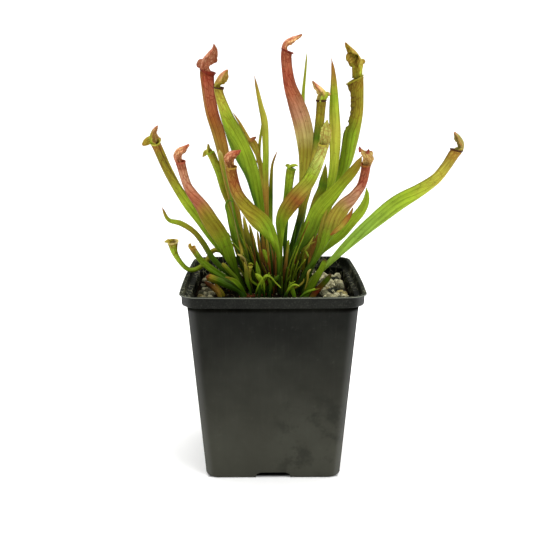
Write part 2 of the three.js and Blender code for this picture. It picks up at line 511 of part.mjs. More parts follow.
// The hood: a curved sheet carried along a line in the leaf's middle plane,
// with its sides bent down by curl times its half width.
function pitcherHood(leaf) {
  const end = stationAt(leaf, 1);
  const skewed = leafFrame(end.frame.along, leaf.face + HOOD_SKEW);
  const line = curveThrough(leaf.hood.map(([u, s, w]) => new THREE.Vector3(u, s, w)));
  const count = leaf.bore > 2 ? 7 : 4;
  const across = [-1, -0.5, 0, 0.5, 1];
  const rings = Array.from({ length: count }, (_, i) => {
    const t = i / (count - 1);
    const at = line.getPoint(t);
    const way = line.getTangent(t);
    const under = new THREE.Vector2(way.y, -way.x).normalize();
    const root = 1 + HOOD_FOOT_SWELL * (1 - smoothStep(0, 0.3, t));
    const side = (q, thick) => {
      const drop = leaf.curl * at.z * q * q + thick * root;
      return place(end.centre, skewed, at.x + under.x * drop, at.z * q, at.y + under.y * drop);
    };
    return [...across.map((q) => side(q, -HOOD_HALF)), ...across.toReversed().map((q) => side(q, HOOD_HALF))];
  });
  return loft(rings);
}

function pitcher(leaf) {
  const count = leaf.bore > 2.5 ? 11 : 8;
  return together([solidOf(pitcherTube(leaf, count)), solidOf(pitcherHood(leaf))]);
}

// A blade: nearly round at the soil, thin and slightly folded further up.
function bladeGeometry(leaf, count) {
  const rings = stations(leaf, count).map(({ centre, frame, half, share }) => {
    const stem = 1 - smoothStep(0.08, 0.4, share);
    const middle = BLADE_MIDDLE + stem * (0.8 * half - BLADE_MIDDLE);
    const edge = BLADE_EDGE + stem * (0.35 * half - BLADE_EDGE);
    const fold = leaf.bend * half * (1 - stem);
    const outline = [[-half, fold + edge], [0, middle], [half, fold + edge], [half, fold - edge], [0, -middle], [-half, fold - edge]];
    return outline.map(([u, v]) => place(centre, frame, u, v));
  });
  return loft(rings);
}

function blade(leaf) {
  return solidOf(bladeGeometry(leaf, Math.max(6, leaf.route.length)));
}

function deadReed() {
  const parts = [REED, REED_CURL, REED_FLAP].map((leaf) => blade(leaf));
  return together(parts);
}

// Outline of the pot at one height, with rounded corners and bowed sides.
function squareRing(half, radius, z, bow = 0, cornerSteps = 3) {
  const ring = [];
  for (let side = 0; side < 4; side += 1) {
    const turn = side * Math.PI / 2;
    const put = (x, y) => ring.push(new THREE.Vector3(
      x * Math.cos(turn) - y * Math.sin(turn),
      x * Math.sin(turn) + y * Math.cos(turn),
      z,
    ));
    put(half + bow, 0);
    for (let k = 0; k <= cornerSteps; k += 1) {
      const a = (k / cornerSteps) * Math.PI / 2;
      put(half - radius + radius * Math.cos(a), half - radius + radius * Math.sin(a));
    }
  }
  return ring;
}

const bodyHalf = (z) => FOOT_HALF + (BODY_TOP_HALF - FOOT_HALF) * z / (POT_HEIGHT - BAND_HEIGHT);

// Drainage notch at the foot of one side: a low gap with sloped ends.
function notch(turn, grow) {
  const outline = new THREE.Shape([
    new THREE.Vector2(-NOTCH_FOOT_WIDTH / 2 - grow, -1),
    new THREE.Vector2(NOTCH_FOOT_WIDTH / 2 + grow, -1),
    new THREE.Vector2(NOTCH_TOP_WIDTH / 2 + grow, NOTCH_HEIGHT + grow),
    new THREE.Vector2(-NOTCH_TOP_WIDTH / 2 - grow, NOTCH_HEIGHT + grow),
  ]);
  const geometry = new THREE.ExtrudeGeometry(outline, { depth: NOTCH_DEPTH + grow + 2, bevelEnabled: false });
  geometry.rotateX(Math.PI / 2);
  geometry.translate(0, -(FOOT_HALF - NOTCH_DEPTH - grow), 0);
  geometry.rotateZ(turn);
  return solidOf(geometry);
}

const QUARTERS = [0, 1, 2, 3].map((k) => k * Math.PI / 2);

// The two stacking ribs inside one wall, from the ledge down.
function ribs(turn, grow) {
  const top = POT_HEIGHT - BAND_HEIGHT - 0.5;
  const solids = [-1, 1].map((side) => {
    const geometry = new THREE.BoxGeometry(RIB_THICK + 2 * grow, 6 + 2 * grow, RIB_DROP + 2 * grow);
    geometry.translate(side * (BODY_TOP_HALF - RIB_FROM_CORNER), 0, top - RIB_DROP / 2);
    geometry.translate(0, bodyHalf(top - RIB_DROP) - WALL - RIB_DEPTH + 3, 0);
    geometry.rotateZ(turn);
    return solidOf(geometry);
  });
  return solids[0].add(solids[1]);
}

function potOuter(shrink = 0) {
  const ledge = POT_HEIGHT - BAND_HEIGHT;
  return solidOf(loft([
    squareRing(FOOT_HALF - 1.2 - shrink, FOOT_RADIUS, 0),
    squareRing(FOOT_HALF - 0.3 - shrink, FOOT_RADIUS, 0.9),
    squareRing(bodyHalf(3) - shrink, FOOT_RADIUS + 0.5, 3),
    squareRing(bodyHalf(60) - shrink, CORNER_RADIUS - 0.7, 60, 0.4),
    squareRing(BODY_TOP_HALF - shrink, CORNER_RADIUS - 0.5, ledge, 0.7),
    squareRing(BODY_TOP_HALF - shrink, CORNER_RADIUS - 0.5, ledge + 0.1, 0.7),
  ]));
}

function pot() {
  const ledge = POT_HEIGHT - BAND_HEIGHT;
  const shell = solidOf(loft([
    squareRing(FOOT_HALF - 1.2, FOOT_RADIUS, 0),
    squareRing(FOOT_HALF - 0.3, FOOT_RADIUS, 0.9),
    squareRing(bodyHalf(3), FOOT_RADIUS + 0.5, 3),
    squareRing(bodyHalf(60), CORNER_RADIUS - 0.7, 60, 0.4),
    squareRing(BODY_TOP_HALF, CORNER_RADIUS - 0.5, ledge - 0.3, 0.7),
    squareRing(BAND_HALF - 0.5, CORNER_RADIUS, ledge, SIDE_BOW - 0.2),
    squareRing(BAND_HALF, CORNER_RADIUS, ledge + 0.9, SIDE_BOW),
    squareRing(BAND_HALF + 0.1, CORNER_RADIUS, POT_HEIGHT - LIP_THICK, SIDE_BOW),
    squareRing(LIP_HALF - 0.2, CORNER_RADIUS + 1, POT_HEIGHT - LIP_THICK, SIDE_BOW),
    squareRing(LIP_HALF, CORNER_RADIUS + 1, POT_HEIGHT - 0.5, SIDE_BOW),
    squareRing(LIP_HALF - 0.3, CORNER_RADIUS + 1, POT_HEIGHT, SIDE_BOW),
    squareRing(BAND_HALF - WALL, CORNER_RADIUS - 0.8, POT_HEIGHT, SIDE_BOW),
    squareRing(BAND_HALF - WALL - 0.2, CORNER_RADIUS - 0.8, ledge + WALL, SIDE_BOW),
    squareRing(BODY_TOP_HALF - WALL, CORNER_RADIUS - 1.4, ledge + 0.7, 0.7),
    squareRing(bodyHalf(60) - WALL, CORNER_RADIUS - 1.6, 60, 0.4),
    squareRing(bodyHalf(FLOOR_THICK + 1) - WALL, FOOT_RADIUS - 0.7, FLOOR_THICK + 1),
    squareRing(bodyHalf(0) - WALL - 1, FOOT_RADIUS - 1.2, FLOOR_THICK),
  ]));
  const ribbed = QUARTERS.reduce((sum, turn) => sum.add(ribs(turn, 0)), shell);
  const inside = potOuter(0);
  const above = solidOf(new THREE.BoxGeometry(120, 120, 12).translate(0, 0, ledge + 6));
  const trimmed = ribbed.intersect(inside.add(above));
  return biggest(QUARTERS.reduce((sum, turn) => sum.subtract(notch(turn, 0)), trimmed));
}

// A round peg along the buried foot of a stem, a little wider than the stem.
function stemPeg(leaf) {
  const path = curveThrough(asVectors(leaf.route));
  const low = leaf.route.filter((row) => row[2] < STEM_HOLE_TOP + 8);
  const radius = Math.max(...low.slice(0, 3).map((row) => row[3])) * 1.03 + HOLE_GAP;
  const rings = [];
  const corner = 1 / Math.cos(Math.PI / PEG_SIDES);
  const steps = 60;
  let lastZ = -Infinity;
  for (let i = 0; i <= steps; i += 1) {
    const t = (i / steps) * Math.min(1, 4 / (leaf.route.length - 1));
    const at = path.getPoint(t);
    if (i === 0 || at.z - lastZ > 4) {
      lastZ = at.z;
      const frame = leafFrame(path.getTangent(t), leaf.side);
      const start = i === 0 ? -HOLE_GAP - 0.2 : 0;
      rings.push(Array.from({ length: PEG_SIDES }, (_, k) => {
        const a = k * 2 * Math.PI / PEG_SIDES;
        return place(at, frame, corner * radius * Math.cos(a), corner * radius * Math.sin(a), start);
      }));
    }
    if (at.z > STEM_HOLE_TOP) break;
  }
  return solidOf(loft(rings));
}

// Grid of the soil's top: a low mound in the middle, broken up by lumps.
function soilTop(x, y, random) {
  const reach = Math.min(1, Math.hypot((x + 3) / 33, (y - 2) / 33));
  const mound = MOUND * (1 - reach * reach);
  return SOIL_EDGE + mound + LUMP * (random() - 0.5) * (reach < 0.98 ? 2 : 0.3);
}

function soilBlock() {
  const random = randomSource(SEED);
  const inner = (z) => bodyHalf(z) - WALL - GAP - 0.15;
  const cells = 10;
  const reach = inner(SOIL_EDGE);
  const positions = [];
  for (let j = 0; j <= cells; j += 1) {
    for (let i = 0; i <= cells; i += 1) {
      const x = (i / cells * 2 - 1) * (reach + 1);
      const y = (j / cells * 2 - 1) * (reach + 1);
      positions.push([x, y, soilTop(x, y, random)]);
    }
  }
  const top = new THREE.BufferGeometry();
  const index = [];
  const row = cells + 1;
  const layer = row * row;
  const bottom = positions.map(([x, y]) => [x, y, 60]);
  top.setAttribute("position", new THREE.Float32BufferAttribute([...positions, ...bottom].flat(), 3));
  for (let j = 0; j < cells; j += 1) {
    for (let i = 0; i < cells; i += 1) {
      const a = j * row + i;
      index.push(a, a + 1, a + row + 1, a, a + row + 1, a + row);
      index.push(layer + a, layer + a + row + 1, layer + a + 1, layer + a, layer + a + row, layer + a + row + 1);
    }
  }
  const border = [];
  for (let i = 0; i < cells; i += 1) border.push(i);
  for (let j = 0; j < cells; j += 1) border.push(j * row + cells);
  for (let i = cells; i > 0; i -= 1) border.push(cells * row + i);
  for (let j = cells; j > 0; j -= 1) border.push(j * row);
  border.forEach((a, k) => {
    const b = border[(k + 1) % border.length];
    index.push(a, layer + a, layer + b, a, layer + b, b);
  });
  top.setIndex(index);
  const lumps = solidOf(outward(top));
  const column = solidOf(loft([
    squareRing(inner(0) - 1.3, FOOT_RADIUS - 2, FLOOR_THICK + GAP),
    squareRing(inner(FLOOR_THICK + 2), FOOT_RADIUS - 1.5, FLOOR_THICK + 2),
    squareRing(inner(60) - 0.2, CORNER_RADIUS - 2, 60, 0.2),
    squareRing(inner(114) - 0.1, CORNER_RADIUS - 1.8, 114, 0.4),
  ]));
  const below = solidOf(new THREE.BoxGeometry(120, 120, 70).translate(0, 0, 35 - 8));
  return column.intersect(lumps.add(below));
}

function rhizomeSolid(grow) {
  const path = curveThrough(asVectors(RHIZOME));
  const widths = curveThrough(RHIZOME.map((row) => new THREE.Vector3(row[3], 0, 0)));
  const count = 12;
  const rings = Array.from({ length: count }, (_, i) => {
    const t = i / (count - 1);
    const frame = leafFrame(path.getTangent(t), 0);
    const overrun = i === 0 ? -1.5 * grow : (i === count - 1 ? 1.5 * grow : 0);
    const ringed = widths.getPoint(t).x * (i % 2 ? 0.92 : 1.05) + 1.3 * grow;
    return Array.from({ length: 7 }, (_, k) => {
      const a = k * 2 * Math.PI / 7;
      return place(path.getPoint(t), frame, ringed * Math.cos(a), ringed * Math.sin(a), overrun);
    });
  });
  return solidOf(loft(rings));
}

// One grain of grit: a rough twenty-sided pebble.
function grain(random, x, y, z, size) {
  const geometry = mergeVertices(bareIcosahedron(size));
  const p = geometry.getAttribute("position");
  for (let i = 0; i < p.count; i += 1) {
    const swell = 0.78 + 0.4 * random();
    p.setXYZ(i, p.getX(i) * swell * 1.1, p.getY(i) * swell, p.getZ(i) * swell * 0.8);
  }
  geometry.rotateZ(random() * Math.PI);
  geometry.rotateX((random() - 0.5) * 0.8);
  geometry.translate(x, y, z);
  return solidOf(geometry);
}

function bareIcosahedron(size) {
  const geometry = new THREE.IcosahedronGeometry(size, 0);
  geometry.deleteAttribute("normal");
  geometry.deleteAttribute("uv");
  return geometry;
}

// Beds of grit along the four walls: [x from, x to, y from, y to, grains].
const GRIT_BEDS = {
  grit_left: [-47.6, -35, -32, 30, 10],
  grit_right: [30, 47.6, -32, 34, 14],
  grit_front: [-36, 36, -47.6, -34, 12],
  grit_back: [-36, 36, 38, 47.6, 8],
};
const BED_FOOT = SOIL_EDGE + 0.6;
const BED_THICK = 1;

function gritBed([x0, x1, y0, y1, grains], random) {
  const pad = new THREE.BoxGeometry(x1 - x0, y1 - y0, BED_THICK);
  pad.translate((x0 + x1) / 2, (y0 + y1) / 2, BED_FOOT + BED_THICK / 2);
  const solids = [solidOf(pad)];
  const wide = x1 - x0;
  const deep = y1 - y0;
  const columns = Math.max(2, Math.round(Math.sqrt(grains * wide / deep)));
  const rows = Math.ceil(grains / columns);
  for (let k = 0; k < columns * rows; k += 1) {
    const size = 1.7 + 1.5 * random();
    const x = x0 + wide * ((k % columns) + 0.5 + 0.5 * (random() - 0.5)) / columns;
    const y = y0 + deep * (Math.floor(k / columns) + 0.5 + 0.5 * (random() - 0.5)) / rows;
    const inX = THREE.MathUtils.clamp(x, x0 + size, x1 - size);
    const inY = THREE.MathUtils.clamp(y, y0 + size, y1 - size);
    solids.push(grain(random, inX, inY, BED_FOOT + BED_THICK + size * 0.3, size));
  }
  const floor = solidOf(new THREE.BoxGeometry(120, 120, 20).translate(0, 0, BED_FOOT + 10));
  return solids.reduce((sum, solid) => sum.add(solid)).intersect(floor);
}

// The plant, with every stem in its own hole
const leaves = {};
Object.entries(PITCHERS).forEach(([name, leaf]) => { leaves[name] = { leaf, solid: pitcher(leaf) }; });
Object.entries(BLADES).forEach(([name, leaf]) => { leaves[name] = { leaf, solid: blade(leaf) }; });
leaves.reed_dead = { leaf: REED, solid: deadReed() };
leaves.leaf_dead_front = { leaf: DEAD_LEAF, solid: blade(DEAD_LEAF) };

const pegs = Object.values(leaves).map(({ leaf }) => stemPeg(leaf));
const random = randomSource(SEED + 4);
const potSolid = pot();
const ribRoom = QUARTERS.reduce((sum, turn) => sum.add(ribs(turn, GAP)), ribs(0, GAP));
const notchRoom = QUARTERS.reduce((sum, turn) => sum.add(notch(turn, GAP)), notch(0, GAP));
const bedRoom = Object.values(GRIT_BEDS).map(([x0, x1, y0, y1]) => solidOf(
  new THREE.BoxGeometry(x1 - x0 + 2 * GAP, y1 - y0 + 2 * GAP, 12)
    .translate((x0 + x1) / 2, (y0 + y1) / 2, BED_FOOT - GAP + 6),
));

const cutAll = (solid, tools) => biggest(tools.reduce((left, tool) => left.subtract(tool), solid));
const solids = {
  pot: potSolid,
  soil: cutAll(soilBlock(), [ribRoom, notchRoom, rhizomeSolid(GAP), ...bedRoom, ...pegs]),
  rhizome: cutAll(rhizomeSolid(0), pegs),
};
Object.entries(GRIT_BEDS).forEach(([name, bed]) => {
  solids[name] = cutAll(gritBed(bed, random), pegs);
});

const shades = { pot: "pot", soil: "soil", rhizome: "rhizome" };
const group = new THREE.Group();
function show(name, solid, shade) {
  const material = new THREE.MeshStandardMaterial({ color: COLOURS[shade], roughness: 0.6, metalness: 0 });
  const mesh = new THREE.Mesh(geometryOf(solid), material);
  mesh.name = name;
  group.add(mesh);
}
Object.entries(solids).forEach(([name, solid]) => show(name, solid, shades[name] ?? "grit"));
Object.entries(leaves).forEach(([name, { leaf, solid }]) => show(name, solid, leaf.colour));

export default group;
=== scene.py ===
# The potted pitcher plant, dressed for its picture.
# Shapes are worked out in millimetres in the frame of the CAD part and put into
# meshes in metres. The plant's front faces -Y and +X is to the viewer's right.

import math

import bpy
import bmesh
import numpy as np
from mathutils import Euler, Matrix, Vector


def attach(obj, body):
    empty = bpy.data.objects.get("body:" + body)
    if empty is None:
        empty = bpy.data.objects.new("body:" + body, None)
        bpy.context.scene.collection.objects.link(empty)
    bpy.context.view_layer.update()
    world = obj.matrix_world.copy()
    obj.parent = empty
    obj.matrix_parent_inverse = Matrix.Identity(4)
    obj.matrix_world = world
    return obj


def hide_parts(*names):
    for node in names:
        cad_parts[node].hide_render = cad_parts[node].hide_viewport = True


MM = 0.001

# Doubled points closer than this, in metres, are merged
MERGE_REACH = 0.00001

# Pot
LEDGE = 114.5
BODY_TOP_HALF = 51
FOOT_HALF = 42.6
FOOT_EDGE = 1.2
FOOT_CORNER = 8
WALL = 1.1
FLOOR_TOP = 1.6
FLOOR_RING = 12
NOTCH_TOP_HALF = 9.75
NOTCH_FOOT_HALF = 10.95
NOTCH_HEIGHT = 3.9
NOTCH_DEPTH = 8
SIDE_BOW = 1.4
RIB_PLACE = 38
RIB_DROP = 22

# Soil: the height at its edge, its gap to the wall, and how many rings and how
# many points a side its top has
SOIL_EDGE = 110
SOIL_GAP = 0.5
SOIL_RINGS = 100
SOIL_SIDE_POINTS = 60
# The peat's lumps: height, seed and size
SOIL_LUMPS = ((0.55, 3, 13), (0.35, 5, 5), (0.22, 9, 2.1))
# The mound: its height, its middle and its reach
MOUND = 2.2
MOUND_PLACE = (-3, 2)
MOUND_REACH = 33

# Grit: level and spacing of a bed, the random numbers that its stones' sizes are
# a power of, the share of stones kept, how far up they lie per size and at
# random, and how light they are
GRIT_LEVEL = 110.8
GRIT_SPACING = 3.7
GRIT_SEED = 30
GRIT_SIZES = (0.9, 1.9)
GRIT_POWER = 1.9
GRIT_KEPT = 0.8
GRIT_LIFT = 0.42
GRIT_UNEVEN = 0.8
GRIT_LIGHT = (0.75, 1.15)

# Crumbs on the peat: how far out they reach, their spacing and the rest as
# above, with a factor for their sizes
CRUMB_REACH = 46
CRUMB_SPACING = 1.9
CRUMB_SEED = 77
CRUMB_SIZES = (0.3, 1.0)
CRUMB_POWER = 1.3
CRUMB_FACTOR = 1.25
CRUMB_LIFT = 0.3
CRUMB_LIGHT = (0.5, 1.5)

# Places on a grid are shaken by up to this share of its spacing
SHAKE = 0.42

# Pebbles: how many planes cut them and how deep, how many sine waves ripple
# them and how much, length and width before turning, height and greatest tilt
PEBBLE_CUTS = 7
CUT_DEPTHS = (0.56, 0.95)
PEBBLE_WAVES = 4
PEBBLE_RIPPLE = 0.05
PEBBLE_LENGTHS = (0.85, 1.25)
PEBBLE_WIDTHS = (0.8, 1.1)
PEBBLE_FLATNESS = 0.8
PEBBLE_TILT = 0.5

# The clump: its middle, where leaves start in the soil, how many young shoots
# it has, how far they reach and from where on some are tall
CLUMP = (3, 2)
LEAF_FOOT = 101
SHOOT_FOOT = 104
SHOOTS = 110
SHOOT_REACH = (19, 15, 0)
TALL_SHOOTS_FROM = -8
SHOOT_SEED = 8
# Shoots: heights, how much taller the tall ones are, lean per height, half
# widths, the shares of those from foot to tip, and the turn of the sides
SHOOT_HEIGHTS = (14, 34)
TALL_FACTOR = 1.75
SHOOT_LEANS = (0.1, 0.6)
SHOOT_HALVES = (0.45, 1.1)
SHOOT_TAPER = (0.8, 1, 1, 0.7, 0.25)
SHOOT_TURN = 60
REED_SEED = 61

# Rhizome: height of its scars and lumps per radius, and the scars' pitch
SCAR_HEIGHT = 0.07
SCAR_PITCH = 1.5
RHIZOME_LUMPS = 0.12

# The clump's shade: heights and distances from the middle between which it
# fades, and how much of it goes with the distance
SHADE_HEIGHTS = (108, 151)
SHADE_DISTANCES = (10, 48)
SHADE_AWAY = 0.6

# Rings and points a ring of the leaves' meshes
TUBE_RINGS = 110
TUBE_POINTS = 44
HOOD_ROWS = 46
HOOD_COLUMNS = 23
EAR_RINGS = 16

# Shares of its length between which a leaf turns from its side to its face
TURN_SHARES = (0.45, 0.95)

# Tubes: the radius at the soil as a share of the bore, how far the tube ends
# under its lip, how far down its sheared and its swollen part reach, and the
# lip's thickness
TUBE_FOOT = 0.42
LIP_GAP = 0.9
SHEAR_REACH = 12
SWELL_REACH = 3
LIP_WALL = 0.75

# Shares of the length between which the tube widens to its bore, how much its
# end swells, and over which share of the length a flush fades at its ends
BORE_SHARES = (0.1, 0.85)
MOUTH_SWELL = 0.05
FLUSH_FADE = 0.2

# Keels: half thickness, width of the rounded edge, length and height of the
# waves, lengths of the torn edge's teeth, and the shares of a pitcher's length
# between which the tears begin and end
KEEL_HALF = 0.34
KEEL_EDGE = 0.7
KEEL_WAVE = 4.6
KEEL_WAVE_HEIGHT = 0.55
LONG_TOOTH = 1.7
SHORT_TOOTH = 0.9
TORN_START = (0.76, 0.81)
TORN_END = (0.92, 0.96)
# How brown the keel's edge gets, and the shares between which it does
KEEL_BROWN = 0.55
KEEL_BROWN_SHARES = (0.45, 0.9)

# Hoods: the shares of the length where the neck ends and between which the
# hood comes free, the neck's half width as a share of the bore, the sheet's
# thickness at its margin and how much more it is in the middle, and the rib
NECK_END = 0.36
HOOD_FREE = (0.2, 0.5)
NECK_WIDTH = 0.9
SHEET_EDGE = 0.2
SHEET_MIDDLE = 0.14
HOOD_RIB = 0.14
HOOD_RIB_WIDTH = 0.12
# How many waves, ruffles and scallops run along a hood, how far the two sides'
# waves differ, and the size of ruffles and scallops per half width
HOOD_WAVES = 2.2
SIDE_SHIFT = 0.23
HOOD_RUFFLES = 6.5
RUFFLE_HEIGHT = 0.05
HOOD_SCALLOPS = 5
SCALLOP_DEPTH = 0.06
# How brown a margin gets, and how much painted light brightens a hood over its tones
MARGIN_STRENGTH = 0.65
HOOD_PAINTED_LIGHT = 1.25

# Blades: half thickness, the shares of the length between which the round stem
# turns into a strip, where the tip begins and how much narrower it gets
BLADE_HALF = 0.42
STEM_END = (0.08, 0.4)
TIP_START = 0.965
TIP_TAPER = 0.65
# The waves' length and height per half width, and the midrib's height and width
BLADE_WAVE = 7
BLADE_WAVE_HEIGHT = 0.16
MIDRIB = 0.12
MIDRIB_WIDTH = 0.2

# Patterns: how many millimetres round a tube make one unit of its pattern, and
# where the patterns of hoods and ears begin, so that they differ from the tubes'
LANE = 1.15
HOOD_START = 200
EAR_START = 300
FAR_LANE = 20

# Camera, fitted to the pot's corners
FOCAL_PIXELS = 732.5
FRAME_PIXELS = 533
CAMERA_REACH = 474.3
CAMERA_TILT = 0.2311
CAMERA_ROLL = 0.0031
AIM = (-3.74, 0, 126.95)

# Studio, in metres
FLOOR_REACH = 2.4
FLOOR_FRONT = -2.2
BEND_START = 1.2
BEND_RADIUS = 0.5
BACKDROP_TOP = 3.0
LAMP_AIM = (0, 0, 0.13)
WORLD_LIGHT = 0.4
# Lamps: place, size and power
LAMPS = {
    "key": ((0.9, -0.7, 1.2), 0.8, 14),
    "fill": ((-1.1, -0.8, 0.9), 0.9, 7),
    "top": ((0.1, 0.5, 2.4), 3.2, 78),
}


def colour(red, green, blue):
    """Linear colour from the usual 0 to 255 screen values: of each share of 255,
    a 12.92th up to 0.04045, and else the 2.4th power of it plus 0.055 over 1.055."""
    share = np.array([red, green, blue]) / 255
    linear = np.where(share <= 0.04045, share / 12.92, ((share + 0.055) / 1.055) ** 2.4)
    return tuple(float(v) for v in linear)


TONES = {
    # The darkest green: at the foot of every leaf and shoot it is painted shade, on crumbs it is their own
    # colour
    "soot": colour(16, 30, 2),
    "deep": colour(38, 70, 2),
    "green": colour(74, 108, 8),
    "fresh": colour(118, 148, 28),
    "lime": colour(146, 172, 44),
    "jade": colour(134, 170, 66),
    "mint": colour(190, 202, 116),
    "sage": colour(142, 142, 84),
    "yellow": colour(172, 172, 66),
    "olive": colour(138, 130, 34),
    "straw": colour(164, 154, 60),
    "cream": colour(206, 190, 128),
    "amber": colour(200, 132, 34),
    "tan": colour(156, 122, 52),
    "rust": colour(146, 88, 40),
    "pink": colour(168, 100, 76),
    "rose": colour(164, 84, 66),
    "blush": colour(194, 146, 122),
    "peach": colour(206, 172, 134),
    # Painted shade for the shadowed side of a leaf
    "stalk": colour(22, 84, 2),
    "wine": colour(116, 40, 26),
    "brown": colour(72, 40, 16),
    "peat": colour(16, 12, 7),
    "dusty peat": colour(48, 38, 24),
    "bark": colour(86, 38, 20),
    "pale pumice": colour(216, 212, 174),
    "grey pumice": colour(130, 130, 104),
    "sandy pumice": colour(184, 172, 118),
    "dark stone": colour(62, 66, 56),
    "collar": colour(20, 21, 18),
    "dark wall": colour(17, 18, 15),
    # Painted light: the wall's colour low down, as lit from the floor
    "floor lit wall": colour(57, 57, 49),
    "scuff": colour(92, 94, 84),
    # Painted highlight along the lip's outer edge
    "lip highlight": colour(138, 142, 128),
    "floor": colour(250, 250, 249),
}
BLACK = (0.0, 0.0, 0.0)
WHITE = (1.0, 1.0, 1.0)

# Linear colours of spots, shade, pits and cracks
LEAF_SPOT = (0.06, 0.024, 0.006)
LEDGE_SHADE = (0.0015, 0.0015, 0.001)
PEAT_PIT = (0.004, 0.003, 0.002)
BARK_CRACK = (0.012, 0.006, 0.004)

# Filters: what a colour is multiplied by
DARK_BLOTCH = (0.86, 0.86, 0.76)
LIGHT_BLOTCH = (1.12, 1.1, 1.0)
DARK_STREAK = (0.82, 0.76, 0.62)
LIGHT_STREAK = (1.14, 1.14, 1.08)
HAIRLINE = (0.6, 0.62, 0.4)
NET_VEIN = (0.52, 0.22, 0.16)
# Painted shade inside the pot
POT_INSIDE_SHADE = (0.85, 0.9, 0.78)
# Painted shade in the pits of pumice
PUMICE_PIT_SHADE = (0.5, 0.47, 0.38)
BARK_GRAIN = (0.25, 0.2, 0.17)

# Leaf finishes: filter of the veins, strength of the net, amount of spots and
# roughness.
LEAF_FINISHES = {
    "leaf_green": ((0.5, 0.56, 0.3), 0.5, 0.25, 0.36),
    "leaf_dark_green": ((0.5, 0.56, 0.3), 0.5, 0.3, 0.34),
    "leaf_olive": ((0.56, 0.42, 0.28), 0.7, 0.4, 0.38),
    "leaf_red": ((0.58, 0.36, 0.28), 0.8, 0.35, 0.38),
    "dead_leaf": ((0.6, 0.5, 0.4), 0.2, 0.6, 0.5),
}

# A vein's edge, as shares of the pitch of the veins, and the pitch of veins
# and of the fan on a hood, in units of the pattern
LINE_EDGE = (0.02, 0.22)
VEIN_PITCH = 2.1
FAN_PITCH = 2.0

# Scales of noise: about how many of its spots fit into a metre
WAVER_SCALE = 70
FINE_SCALE = 1100
BLOTCH_SCALE = 95
FLECK_SCALE = 520

# Heights on the pot, in metres, between which its finish changes
# Painted light from the floor fades out up the wall between the first two heights
BOUNCE_LIGHT_FADE = (0.0, 0.112)
COLLAR_START = (0.1138, 0.1146)
# The painted shadow under the collar's ledge lies between the next two
LEDGE_SHADOW_START = (0.1102, 0.1126)
LEDGE_SHADOW_END = (0.1141, 0.1146)
LIP_START = (0.1205, 0.1212)
# The painted highlight on the lip's outer edge lies between these heights
LIP_HIGHLIGHT = (0.12105, 0.1214)
SMUDGE_END = (0.045, 0.066)
# The painted black shade at the foot, inside and underneath, fades out between these heights
FOOT_SHADE_END = (0.005, 0.03)
# Places across the pot between which the smudges begin
SMUDGE_LEFT = (-0.006, 0.012)

# The painted black shadow under the pot's foot: where its edge begins and ends, in metres
POT_SHADOW_EDGE = (0.0385, 0.0422)
PAPER_SHADE = (0.8, 0.8, 0.8)

# What a leaf's table leaves out
USUAL = {
    "slot": "leaf_green", "lip": "straw", "throat": "deep", "margin": "wine", "lining": "straw", "pale": 0.6,
    "roll": 0.35, "grip": 1.05, "wave": 0.1, "turn": 0, "side": 0, "flare": 0.45, "torn": 0,
    "flush": "", "ears": (), "least": 0.17, "slim": 1,
}
NAMED_NUMBERS = {"foot": LEAF_FOOT, "bow": SIDE_BOW}


def rows(text):
    """Rows of numbers from a text with commas between rows and blanks between
    numbers. A number may also be one of the named ones."""
    words = [row.split() for row in text.split(",")]
    return np.array([[float(NAMED_NUMBERS.get(word, word)) for word in row] for row in words])


def flushes(text):
    """Patches of another tone: side, tone, amount, begin and end of each."""
    words = [patch.split() for patch in text.split(",") if patch]
    return [(float(side), tone, *map(float, numbers)) for side, tone, *numbers in words]


def leaf(**given):
    """A leaf's values: the given ones and the usual ones for the rest, with its
    line, its hood's line, its ears' lines and its flushes read from texts."""
    values = {**USUAL, **given}
    for key in ("route", "hood"):
        if key in values:
            values[key] = rows(values[key])
    values["ears"] = [rows(ear) for ear in values["ears"]]
    values["flush"] = flushes(values["flush"])
    return values


def blade(side, bend, route, tones, **given):
    """A leaf without a tube. Bend is how far its edges fold, per half width."""
    return leaf(side=side, bend=bend, route=route, tones=tones, **given)


